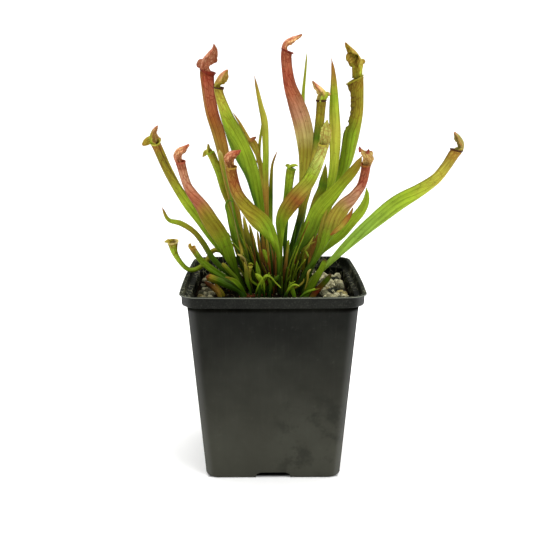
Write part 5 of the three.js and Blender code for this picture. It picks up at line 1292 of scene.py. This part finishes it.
def tube_body(pitcher, seed, turn, length):
    """The tube below its lip, as points, tint and pattern: the keeled section
    carried along the route. The keel waves as a sine of the way along, and a
    torn one is cut back by the size of two added sines. Near the mouth each
    ring is sheared, so that its back stands higher, juts out in front by the
    square of the turn's cosine, and swells a little."""
    share = np.linspace(0, 1 - LIP_GAP / length, TUBE_RINGS)
    centre, along, forward, across, half, _ = walk(pitcher["route"], pitcher["side"], pitcher["face"], share)
    opening = TUBE_FOOT + (1 - TUBE_FOOT) * smooth(*BORE_SHARES, share)
    tube = np.minimum(pitcher["bore"] * opening, half - 0.2)
    tint = blend_tones(pitcher["tones"], share, TUBE_POINTS)
    share, half, tube = share[:, None], half[:, None], tube[:, None]
    travel = share * length
    front = np.clip(np.cos(turn), 0, 1)
    fore, aside = pitcher_section(half, tube, turn)
    wing = np.clip((fore / half + 0.1) / 1.1, 0, 1) * smooth(0.5, 3, half - tube)
    wave = KEEL_WAVE_HEIGHT * np.sin(travel / KEEL_WAVE + seed)
    aside = aside + wing**2 * wave * np.clip(half - tube, 0, 3) / 2
    teeth = np.abs(np.sin(travel / LONG_TOOTH) + 0.6 * np.sin(travel / SHORT_TOOTH + 1))
    torn = pitcher["torn"] * smooth(*TORN_START, share) * (1 - smooth(*TORN_END, share))
    fore = fore - torn * teeth * front**3
    shear = smooth(length - SHEAR_REACH, length, travel)
    swell = 1 + MOUTH_SWELL * smooth(length - SWELL_REACH, length, travel)
    lift = -pitcher["rise"] * fore * shear
    fore = fore * swell + pitcher["spout"] * pitcher["flare"] * shear * front**2
    points = swept(centre, (forward, fore), (across, aside * swell), (along, lift))
    keel_edge = KEEL_BROWN * front**6 * smooth(*KEEL_BROWN_SHARES, share)
    tint = mixed(tint, TONES["brown"], keel_edge[..., None])
    for away, tone, amount, begin, end in pitcher["flush"]:
        spread = smooth(begin, begin + FLUSH_FADE, share) - smooth(end - FLUSH_FADE, end, share)
        patch = amount * np.clip(away * np.cos(turn), 0, 1) * spread
        tint = mixed(tint, TONES[tone], patch[..., None])
    return points, tint, stacked(travel, (fore - half) / LANE, smooth(0.55, 1, share))


def lip_body(pitcher, turn, length):
    """The rolled lip and the throat inside it, as points, tint and pattern.
    Each ring is a circle with a radius, a height above the mouth and a share of
    the spout, which juts out by the square of the turn's cosine. Deep rings
    follow the tube's back, so that they stay inside it."""
    bore, roll = pitcher["bore"], pitcher["roll"]
    inside = bore - LIP_WALL
    rings = np.array([
        [bore * 1.03, -0.7, max(0.5, pitcher["flare"])],
        [bore * 1.06 + roll * 0.4, -0.25, max(0.8, pitcher["flare"])],
        [bore * 1.07 + roll, 0.1, 1],
        [bore * 1.07 + roll, 0.36, 1],
        [bore * 1.04 + roll * 0.6, 0.5, 1],
        [bore, 0.42, 0.95],
        [inside + 0.25, 0.1, 0.8],
        [inside, -0.6, 0.6],
        [inside * 0.96, -2, 0.3],
        [inside * 0.84, -5, 0],
        [inside * 0.66, -9, 0],
        [inside * 0.4, -13, 0],
    ])
    rings = rings[-rings[:, 1] < 0.3 * length]
    level = rings[:, 1]
    share = np.clip(1 + np.minimum(level, 0) / length, 0, 1)
    centre, along, forward, across, half, _ = walk(pitcher["route"], pitcher["side"], pitcher["face"], share)
    radius, height, jut = (rings[:, k : k + 1] for k in range(3))
    fore = radius * np.cos(turn) + pitcher["spout"] * jut * np.clip(np.cos(turn), 0, None) ** 2
    back = np.where(level < -3, inside - half, 0)[:, None]
    lift = np.maximum(height, 0) - pitcher["rise"] * fore * smooth(-9, -0.5, height)
    points = swept(centre, (forward, fore + back), (across, radius * np.sin(turn)), (along, lift))
    depth = smooth(0.5, -9, level)[:, None, None] * np.ones((1, TUBE_POINTS, 1))
    tint = mixed(TONES[pitcher["lip"]], TONES[pitcher["throat"]], depth)
    return points, tint, stacked(length + radius, radius * np.cos(turn) / LANE, 0.4)


def tube_skin(pitcher, seed):
    """A pitcher's tube, opening to a rolled lip and running back down inside to
    a closed throat."""
    turn = round_turn(TUBE_POINTS)
    length = walk(pitcher["route"], 0, 0, np.array([1.0]))[-1]
    parts = zip(tube_body(pitcher, seed, turn, length), lip_body(pitcher, turn, length))
    points, tint, pattern = (np.concatenate(pair) for pair in parts)
    return wrapped(points, shaded_low(tint, points, pitcher["least"]), pattern)


def hood_skin(pitcher, seed):
    """A pitcher's hood: a thin sheet carried along a line in the middle plane.
    Each strip across it drops towards the underside by curl times the half
    width times the square of the place across it, which runs from -1 to 1. Its
    margin waves, a rib runs down its back, and its neck grips the tube."""
    share = np.linspace(0, 1, HOOD_ROWS)
    centre, along, forward, across = mouth(pitcher, pitcher["face"] + pitcher["turn"])
    fore, high, wide, curl = spline(pitcher["hood"], share).T
    path = np.concatenate([[0], np.cumsum(np.hypot(np.diff(fore), np.diff(high)))])
    ahead = unit(slope(pitcher["hood"], share, 0.004)[:, :2])
    tint = blend_tones(pitcher["hood_tones"], share, 2 * HOOD_COLUMNS)
    place = np.linspace(-1, 1, HOOD_COLUMNS)
    place = np.concatenate([place, place[::-1]])[None, :]
    sheet = np.repeat([-1.0, 1.0], HOOD_COLUMNS)[None, :]
    share, fore, high, wide, curl = (column[:, None] for column in (share, fore, high, wide, curl))
    neck = 1 - smooth(0, NECK_END, share)
    free = smooth(*HOOD_FREE, share)
    wide = np.maximum(wide + np.maximum(NECK_WIDTH * pitcher["bore"] - wide, 0) * neck, 0.25)
    curl = curl + (pitcher["grip"] - curl) * neck
    wave = pitcher["wave"] * np.sin(2 * math.pi * (share * HOOD_WAVES + SIDE_SHIFT * np.sign(place)) + seed)
    ruffle = RUFFLE_HEIGHT * np.sin(2 * math.pi * share * HOOD_RUFFLES + seed * 2 + place * 2)
    thick = (SHEET_EDGE + SHEET_MIDDLE * (1 - place**2)) * (1 + 0.8 * (1 - free))
    rib = HOOD_RIB * np.exp(-((place / HOOD_RIB_WIDTH) ** 2)) * free * (sheet < 0)
    drop = curl * wide * place**2 + (wave + ruffle) * wide * np.abs(place) ** 2.5 * free + sheet * thick - rib
    scallop = 1 - SCALLOP_DEPTH * np.sin(2 * math.pi * share * HOOD_SCALLOPS + seed + place * 3) * free
    moves = (fore + ahead[:, 1:] * drop, wide * place * scallop, high - ahead[:, :1] * drop)
    points = swept(centre, *zip((forward, across, along), moves))
    tint = mixed(tint, TONES[pitcher["margin"]], (MARGIN_STRENGTH * np.abs(place) ** 6 * free)[..., None])
    tint = mixed(tint, TONES[pitcher["lining"]], ((sheet > 0) * pitcher["pale"])[..., None])
    pattern = stacked(HOOD_START + path[:, None], place * (3 + 0.5 * wide.max()) + FAR_LANE, 1.0)
    # Painted light: the hood's tint made lighter by a fixed factor
    return wrapped(points, np.clip(tint * HOOD_PAINTED_LIGHT, 0, 0.9), pattern)


def ear_skin(pitcher, ear, seed):
    """A small flap rolled out beside the hood. Rings follow the ear's line from
    the mouth. They are twice the half width wide and face the viewer, and bend
    back at their edges."""
    centre, along, forward, across = mouth(pitcher, pitcher["face"])
    share = np.linspace(0, 1, EAR_RINGS)
    line = spline(ear, share)
    path = centre + line[:, :1] * forward + line[:, 1:2] * across + line[:, 2:3] * along
    ahead = unit(np.gradient(path, axis=0))
    viewer = np.array([0.0, -1.0, 0.0])
    facing = unit(viewer - ahead * (ahead @ viewer)[:, None])
    half = np.maximum(line[:, 3], 0.15)[:, None]
    turn = round_turn(EAR_RINGS)
    wide = half * np.cos(turn) * (1 + 0.06 * np.sin(4 * turn + seed))
    deep = 0.3 * half**0.7 * np.sin(turn) - 0.35 * half * np.cos(turn) ** 2
    points = swept(path, (np.cross(ahead, facing), wide), (facing, deep))
    tones = pitcher.get("ear_tones", pitcher["hood_tones"])
    pattern = stacked(EAR_START + 8 * share[:, None], wide * 1.1 + FAR_LANE, 1.0)
    return wrapped(points, blend_tones(tones, 0.2 + 0.7 * share, EAR_RINGS), pattern)


def blade_skin(strip, seed, rings=80, count=24):
    """A blade: nearly round at the soil, then a thin strip. Forward runs as the
    cosine of the turn times the half width, across as its sine times the half
    thickness, plus a fold that grows with the distance from the midrib, a wave
    of the edges and a rib in the middle."""
    share = np.linspace(0, 1, rings)
    centre, _, forward, across, half, length = walk(strip["route"], strip["side"], strip["side"], share)
    tint = blend_tones(strip["tones"], share, count)
    turn = round_turn(count)
    share, half = share[:, None], half[:, None]
    flat = smooth(*STEM_END, share)
    stem = 1 - flat
    half = half * strip["slim"] * (1 - TIP_TAPER * smooth(TIP_START, 1, share))
    fore = half * np.cos(turn)
    above = np.sign(np.sin(turn))
    away = np.abs(np.cos(turn))
    middle = BLADE_HALF + stem * (0.8 * half - BLADE_HALF)
    thick = middle * above * np.abs(np.sin(turn)) ** (0.85 - 0.1 * stem)
    fold = strip["bend"] * half * away**1.4
    ripple = np.sin(share * length / BLADE_WAVE + seed + 1.3 * np.sign(np.cos(turn)))
    wave = BLADE_WAVE_HEIGHT * half * away**2 * ripple
    rib = MIDRIB * np.exp(-((np.cos(turn) / MIDRIB_WIDTH) ** 2)) * above
    points = swept(centre, (forward, fore), (across, thick + (fold + wave + rib) * flat))
    edge = (0.5 * away**10 * smooth(0.3, 0.7, share))[..., None]
    tint = shaded_low(mixed(tint, TONES["brown"], edge), points, strip["least"])
    return wrapped(points, tint, stacked(share * length, fore / 1.05 + 10, 0.12))


# Pot


def square_line(half, radius, bow, side, share):
    """Points of a square outline with rounded corners. Each place is a side
    and a share from -1 to 1 along it: the straight part up to 0.8 and the
    corner's quarter circle beyond, so all four sides match. Sides bow out by
    bow times one minus the square of the distance from their middle."""
    corner = np.clip((np.abs(share) - 0.8) / 0.2, 0, 1) * math.pi / 4
    straight = np.clip(share / 0.8, -1, 1) * (half - radius)
    along = straight + np.sign(share) * radius * np.sin(corner)
    out = half - radius + radius * np.cos(corner) + bow * (1 - (along / half) ** 2)
    return *turned(side, along, out), along, out


def turned(side, along, out):
    """x and y of a place on one of the four sides, counted from the front: so
    far along the side and so far out from the middle."""
    angle = side * math.pi / 2
    cos, sin = np.cos(angle), np.sin(angle)
    return along * cos + out * sin, along * sin - out * cos


def pot_places():
    """Sides and shares of the pot's outline, close together at the corners and
    with one step over each sloped edge of the drainage notches."""
    flat = FOOT_HALF - FOOT_EDGE - FOOT_CORNER
    notch_top, notch_foot = 0.8 * NOTCH_TOP_HALF / flat, 0.8 * NOTCH_FOOT_HALF / flat
    middle = np.linspace(0, notch_top, 5)
    rest = np.linspace(notch_foot + 0.001, 0.8, 12)
    corner = np.linspace(0.8, 1, 9)[1:-1]
    right = np.concatenate([middle, [notch_foot], rest, corner])
    one_side = np.concatenate([[-1.0], -right[:0:-1], right])
    return np.repeat(np.arange(4), len(one_side))[None, :], np.tile(one_side, 4)[None, :]


def body_half(z):
    """Half width of the tapered wall at a height, straight from the foot's to
    the ledge's."""
    return FOOT_HALF + (BODY_TOP_HALF - FOOT_HALF) * z / LEDGE


def pot_profile():
    """Rows of height, half width, corner radius, bow and whether the row is
    inside: from the middle of the foot up the outside and down the inside."""
    foot = [
        [0, FLOOR_RING, 5, 0],
        [0, FOOT_HALF - NOTCH_DEPTH - 0.15, 6, 0],
        [0, FOOT_HALF - NOTCH_DEPTH, 6, 0],
        [0, FOOT_HALF - 2.2, 7.2, 0],
        [0, FOOT_HALF - 1.3, 7.8, 0],
        [0.2, FOOT_HALF - 0.7, 8, 0],
        [0.7, FOOT_HALF - 0.25, 8, 0],
        [1.4, body_half(1.4), 8.2, 0],
    ]
    outside = [[z, body_half(z), 8.4 + 0.6 * z / 110, 0.7 * z / 114] for z in OUTSIDE_LEVELS]
    inside = [[z, body_half(z) - WALL, 7.8, 0.7 * z / 114] for z in INSIDE_LEVELS]
    floor = [
        [FLOOR_TOP, FOOT_HALF - WALL - 1.4, 7, 0],
        [FLOOR_TOP, FOOT_HALF - NOTCH_DEPTH - 1.1, 5, 0],
        [FLOOR_TOP, FLOOR_RING, 5, 0],
    ]
    up = np.vstack([foot, outside, rows(COLLAR)])
    down = np.vstack([rows(NECK), inside, floor])
    within = np.repeat([0, 1], [len(up), len(down)])
    return np.column_stack([np.vstack([up, down]), within])


def pot_skin():
    """The pot: its profile carried round the square outline. Rows near the foot
    are lifted over each drainage notch."""
    profile = pot_profile()
    z, half, radius, bow, within = (column[:, None] for column in profile.T)
    x, y, along, out = square_line(half, radius, bow, *pot_places())
    z = z + 0 * x
    within_notch = (NOTCH_FOOT_HALF - np.abs(along)) / (NOTCH_FOOT_HALF - NOTCH_TOP_HALF)
    sloped = NOTCH_HEIGHT * np.clip(within_notch, 0, 1)
    near_wall = out > FOOT_HALF - NOTCH_DEPTH - 0.05 - WALL * within
    lifted = np.where(near_wall & (sloped > 0), sloped + WALL * within, 0)
    points = np.stack([x, y, np.maximum(z, lifted)], axis=-1)
    outside = (1 - within) * (np.arange(len(profile)) >= UNDERSIDE_ROWS)[:, None]
    return wrapped(points, np.ones(points.shape) * outside[..., None], points)


def rib_skins():
    """Stacking ribs inside the collar: rounded upright bars, two to a wall. Their
    rings are squared circles, as the roots of the cosine and sine of the turn."""
    skins = []
    z = np.array([0, 0.6, 2, RIB_DROP * 0.5, RIB_DROP - 1, RIB_DROP - 0.3, RIB_DROP]) + LEDGE - RIB_DROP
    swell = np.array([0.1, 0.75, 1, 1, 1, 0.8, 0.3])[:, None]
    turn = round_turn(16)
    deep, high = (np.sign(wave) * np.abs(wave) ** 0.5 * swell for wave in (np.cos(turn), np.sin(turn)))
    wall = (body_half(z) - WALL)[:, None]
    out = np.minimum(wall - 0.3 + 1.4 * high, wall + 0.6)
    for side in range(4):
        for place in (-RIB_PLACE, RIB_PLACE):
            points = stacked(*turned(side, place + 0.75 * deep, out), z[:, None])
            skins.append(wrapped(points, 0 * points, points))
    return skins


# Soil, grit and rhizome


def soil_height(x, y):
    """The peat's top: a low mound that falls off as the square of the distance
    from its middle, with lumps of three sizes."""
    reach = np.minimum(1, np.hypot(x - MOUND_PLACE[0], y - MOUND_PLACE[1]) / MOUND_REACH)
    flat = stacked(x, y, 0.0)
    lumps = sum(height * rumple(flat, seed, size) for height, seed, size in SOIL_LUMPS)
    return SOIL_EDGE + MOUND * (1 - reach**2) + lumps * 0.8


def soil_skin():
    """The block of peat: the square outline shrunk to the middle for the top,
    then let down inside the wall and closed underneath."""
    side = np.repeat(np.arange(4), SOIL_SIDE_POINTS)[None, :]
    share = np.tile(np.linspace(-1, 1, SOIL_SIDE_POINTS + 1)[:-1], 4)[None, :]
    shrink = np.linspace(0.004, 1, SOIL_RINGS)[:, None]
    x, y, _, _ = square_line(body_half(SOIL_EDGE) - WALL - SOIL_GAP, 7.5, 0.5, side, share)
    x, y = x * shrink, y * shrink
    top = stacked(x, y, soil_height(x, y))
    level, wide = rows(SOIL_BLOCK).T[..., None]
    x, y, _, _ = square_line(wide, 7, 0.2, side, share)
    points = np.concatenate([top, stacked(x, y, level)])
    damp = rumple(points, 21, 18)[..., None] * 0.5 + 0.5
    return wrapped(points, mixed(TONES["peat"], TONES["dusty peat"], 0.6 * damp), points)


def pebble_shape(subdivisions):
    """Directions and faces of a sphere split from an icosahedron; each face is
    written as four corners with the last one doubled."""
    work = bmesh.new()
    bmesh.ops.create_icosphere(work, subdivisions=subdivisions, radius=1)
    points = np.array([v.co[:] for v in work.verts])
    faces = np.array([[v.index for v in f.verts] for f in work.faces])
    work.free()
    return points, np.hstack([faces, faces[:, 2:]])


def pebble_skin(shape, places, sizes, tints, seed):
    """Many pebbles at once. Each is the sphere with its directions cut back to
    a few random planes, swollen by sine waves, squashed, turned and placed."""
    random = np.random.default_rng(seed)
    points, faces = shape
    count = len(places)
    cuts = unit(random.normal(size=(count, PEBBLE_CUTS, 3)))
    depth = random.uniform(*CUT_DEPTHS, (count, PEBBLE_CUTS))
    lean = np.einsum("pk,nck->npc", points, cuts)
    reach = np.min(np.where(lean > 0.05, depth[:, None] / np.maximum(lean, 0.05), 9), axis=2)
    waves = random.normal(size=(count, PEBBLE_WAVES, 3)) * 3
    shifts = random.uniform(0, 6, (count, 1, PEBBLE_WAVES))
    ripple = np.sin(np.einsum("pk,nck->npc", points, waves) + shifts).sum(2)
    shaped = points * (np.minimum(reach, 1.08) * (1 + PEBBLE_RIPPLE * ripple))[..., None]
    long = random.uniform(*PEBBLE_LENGTHS, count)
    wide = random.uniform(*PEBBLE_WIDTHS, count)
    shaped = shaped * stacked(long, wide, PEBBLE_FLATNESS)[:, None]
    angle = random.uniform(0, 2 * math.pi, count)[:, None]
    tilt = random.uniform(-PEBBLE_TILT, PEBBLE_TILT, count)[:, None]
    x = shaped[..., 0] * np.cos(angle) - shaped[..., 1] * np.sin(angle)
    y = shaped[..., 0] * np.sin(angle) + shaped[..., 1] * np.cos(angle)
    z = shaped[..., 2]
    x, z = x * np.cos(tilt) - z * np.sin(tilt), z * np.cos(tilt) + x * np.sin(tilt)
    placed = (np.stack([x, y, z], -1) * sizes[:, None, None] + places[:, None]).reshape(-1, 3)
    numbers = faces + (np.arange(count) * len(points))[:, None, None]
    return Skin(placed, numbers.reshape(-1, 4), np.repeat(tints, len(points), axis=0), placed)


def scatter(x0, x1, y0, y1, spacing, seed):
    """Places on a grid over a rectangle, each shaken by a share of the grid's
    spacing each way."""
    random = np.random.default_rng(seed)
    xs = np.arange(x0 + spacing / 2, x1, spacing)
    ys = np.arange(y0 + spacing / 2, y1, spacing)
    grid = np.stack(np.meshgrid(xs, ys), axis=-1).reshape(-1, 2)
    return grid + random.uniform(-SHAKE, SHAKE, grid.shape) * spacing


def grit_skin(name, shape):
    """A bed of grit: a crowd of pebbles, big ones among small ones, each with
    its middle a little above the peat. The bed on the left lies in shade."""
    x0, x1, y0, y1 = GRIT_BEDS[name]
    seed = GRIT_SEED + list(GRIT_BEDS).index(name)
    random = np.random.default_rng(seed)
    places = scatter(x0, x1, y0, y1, GRIT_SPACING, seed)
    sizes = random.uniform(*GRIT_SIZES, len(places)) ** GRIT_POWER
    places[:, 0] = np.clip(places[:, 0], x0 + sizes, x1 - sizes)
    places[:, 1] = np.clip(places[:, 1], y0 + sizes, y1 - sizes)
    keep = random.uniform(size=len(places)) < GRIT_KEPT
    places, sizes = places[keep], sizes[keep]
    height = GRIT_LEVEL + sizes * GRIT_LIFT + random.uniform(0, GRIT_UNEVEN, len(places))
    kinds = np.array([TONES[tone] for tone in GRIT_TONES])
    kind = random.integers(0, len(kinds), len(places))
    tints = kinds[kind] * random.uniform(*GRIT_LIGHT, (len(places), 1))
    tints = tints * GRIT_SHADE.get(name, 1)
    return pebble_skin(shape, np.column_stack([places, height]), sizes, tints, seed)


def crumb_skin(shape):
    """Loose crumbs of peat and a few bits of grit over the whole top."""
    random = np.random.default_rng(CRUMB_SEED)
    places = scatter(-CRUMB_REACH, CRUMB_REACH, -CRUMB_REACH, CRUMB_REACH, CRUMB_SPACING, CRUMB_SEED + 1)
    sizes = random.uniform(*CRUMB_SIZES, len(places)) ** CRUMB_POWER * CRUMB_FACTOR
    height = soil_height(places[:, 0], places[:, 1]) + sizes * CRUMB_LIFT
    kinds = np.array([TONES[tone] for tone in CRUMB_TONES])
    kind = random.integers(0, len(kinds), len(places))
    tints = kinds[kind] * random.uniform(*CRUMB_LIGHT, (len(places), 1))
    return pebble_skin(shape, np.column_stack([places, height]), sizes, tints, CRUMB_SEED + 2)


def shoot_skins():
    """Young shoots and old leaf bases crowded round the rhizome: short narrow
    blades at seeded random places, each leaning away from the middle by the
    square of its height. Every second one behind the front is taller."""
    random = np.random.default_rng(SHOOT_SEED)
    skins = [blade_skin(young, k, 40, 14) for k, young in enumerate(YOUNG_LEAVES)]
    shares = np.array([0, 0.25, 0.5, 0.75, 1])[:, None]
    for k in range(SHOOTS):
        angle = random.uniform(0, 2 * math.pi)
        away = np.array([math.cos(angle), math.sin(angle), 0])
        spread = random.uniform(0.15, 1) ** 0.7
        foot = (*CLUMP, SHOOT_FOOT) + away * spread * SHOOT_REACH
        tall = random.uniform(*SHOOT_HEIGHTS) * (1.1 - 0.4 * spread)
        if k % 2 and foot[1] > TALL_SHOOTS_FROM:
            tall = tall * TALL_FACTOR
        lean = away * tall * random.uniform(*SHOOT_LEANS) * spread
        drift = random.normal(size=3) * [2, 2, 0]
        halves = random.uniform(*SHOOT_HALVES) * np.array(SHOOT_TAPER)[:, None]
        line = foot + shares * [0, 0, tall] + shares**2 * lean + np.sin(shares * 3) * drift * 0.5
        side = random.uniform(-SHOOT_TURN, SHOOT_TURN)
        tones = SHOOT_TONES[random.integers(0, len(SHOOT_TONES))]
        shoot = {**USUAL, "route": np.hstack([line, halves]), "side": side, "bend": 0.25, "tones": tones}
        skins.append(blade_skin(shoot, k, 20, 10))
    return skins


def rhizome_skin():
    """The creeping stem: a tube along its route. Its radius is multiplied by 0.94
    plus the rings of old leaf scars, a sine along its length, plus its lumps."""
    share = np.linspace(0, 1, 90)
    centre, _, forward, across, half, length = walk(rows(RHIZOME), 0, 0, share)
    half = half[:, None]
    turn = round_turn(32)
    cos, sin = np.cos(turn), np.sin(turn)
    scars = SCAR_HEIGHT * np.abs(np.sin(share[:, None] * length / SCAR_PITCH + cos))
    smooth_tube = swept(centre, (forward, half * cos), (across, half * sin))
    radius = half * (0.94 + scars + RHIZOME_LUMPS * rumple(smooth_tube, 12, 5))
    points = swept(centre, (forward, radius * cos), (across, radius * sin))
    tone = np.clip(rumple(points, 14, 4) * 0.5 + 0.5, 0, 1)[..., None]
    return wrapped(points, mixed(TONES["bark"], np.array(TONES["rust"]) * 0.8, tone), points)


# Studio


def studio():
    """A pale floor that curves up into a backdrop, soft lights and the camera."""
    bend = np.linspace(0, math.pi / 2, 24)
    x = np.linspace(-FLOOR_REACH, FLOOR_REACH, 3)[None, :]
    y = np.concatenate([[FLOOR_FRONT], BEND_START + BEND_RADIUS * np.sin(bend), [BEND_START + BEND_RADIUS]])
    z = np.concatenate([[0], BEND_RADIUS * (1 - np.cos(bend)), [BACKDROP_TOP]])
    points = stacked(x, y[:, None], z[:, None])
    grid = np.arange(points.shape[0] * points.shape[1]).reshape(points.shape[:2])
    faces = np.stack([grid[:-1, :-1], grid[:-1, 1:], grid[1:, 1:], grid[1:, :-1]], -1).reshape(-1, 4)
    mesh = bpy.data.meshes.new("floor")
    mesh.from_pydata(points.reshape(-1, 3).tolist(), [], faces.tolist())
    mesh.polygons.foreach_set("use_smooth", np.ones(len(faces), bool))
    mesh.materials.append(floor_finish())
    floor = linked("floor", mesh)
    for name, (place, size, power) in LAMPS.items():
        lamp(name, place, size, power)
    world = bpy.data.worlds.new("studio")
    world.use_nodes = True
    background = world.node_tree.nodes["Background"]
    background.inputs["Color"].default_value = (*WHITE, 1)
    background.inputs["Strength"].default_value = WORLD_LIGHT
    bpy.context.scene.world = world
    bpy.context.scene.view_settings.view_transform = "Standard"
    camera()


def lamp(name, place, size, power):
    """A square soft light that looks at the middle of the plant."""
    light = bpy.data.lights.new(name, "AREA")
    light.size = size
    light.energy = power
    shown = linked(name, light)
    shown.location = place
    aim = Vector(LAMP_AIM) - Vector(place)
    shown.rotation_euler = aim.to_track_quat("-Z", "Y").to_euler()


def camera():
    """The camera: back from the aim point along the tilted line of sight, with
    a field of view of twice the arc tangent of half the frame over the focal
    length, both in pixels."""
    lens = bpy.data.cameras.new("camera")
    lens.angle = 2 * math.atan(FRAME_PIXELS / 2 / FOCAL_PIXELS)
    lens.clip_start = 0.01
    shown = linked("camera", lens)
    x, y, z = AIM
    back = CAMERA_REACH * math.cos(CAMERA_TILT)
    up = CAMERA_REACH * math.sin(CAMERA_TILT)
    shown.location = (x * MM, (y - back) * MM, (z + up) * MM)
    tilt = Euler((math.pi / 2 - CAMERA_TILT, 0, 0)).to_matrix()
    roll = Euler((0, 0, -CAMERA_ROLL)).to_matrix()
    shown.rotation_euler = (tilt @ roll).to_euler()
    bpy.context.scene.camera = shown


def dress():
    """Every piece of the plant and its pot."""
    finishes = {slot: leaf_finish(slot, *values) for slot, values in LEAF_FINISHES.items()}
    for k, (name, pitcher) in enumerate(PITCHERS.items()):
        skins = [tube_skin(pitcher, k), hood_skin(pitcher, k)]
        skins += [ear_skin(pitcher, ear, k) for ear in pitcher["ears"]]
        if name == "pitcher_right_pink":
            skins.append(blade_skin(DRY_EDGE, k))
        piece(name + "_skin", joined(skins), finishes[pitcher["slot"]], name)
    for k, (name, strip) in enumerate(BLADES.items()):
        skins = [blade_skin(strip, k)]
        if name == "reed_dead":
            skins += [blade_skin(bit, REED_SEED + n, 40, 16) for n, bit in enumerate(REED_BITS)]
        piece(name + "_skin", joined(skins), finishes[strip["slot"]], name)
    piece("pot_shell", joined([pot_skin()] + rib_skins()), pot_finish(), "pot")
    crumb, stone = pebble_shape(1), pebble_shape(3)
    piece("peat", joined([soil_skin(), crumb_skin(crumb)]), peat_finish(), "soil")
    piece("rhizome_bark", rhizome_skin(), bark_finish(), "rhizome")
    piece("young_shoots", joined(shoot_skins()), finishes["leaf_dark_green"], None)
    grit = stone_finish()
    for name in GRIT_BEDS:
        piece(name + "_stones", grit_skin(name, stone), grit, name)


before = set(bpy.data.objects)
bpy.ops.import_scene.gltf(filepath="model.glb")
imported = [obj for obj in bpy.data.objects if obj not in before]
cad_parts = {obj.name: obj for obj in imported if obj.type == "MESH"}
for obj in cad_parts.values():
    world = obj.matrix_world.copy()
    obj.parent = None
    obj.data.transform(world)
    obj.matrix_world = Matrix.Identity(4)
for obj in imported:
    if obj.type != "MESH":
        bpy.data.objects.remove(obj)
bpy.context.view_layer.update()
dress()
studio()
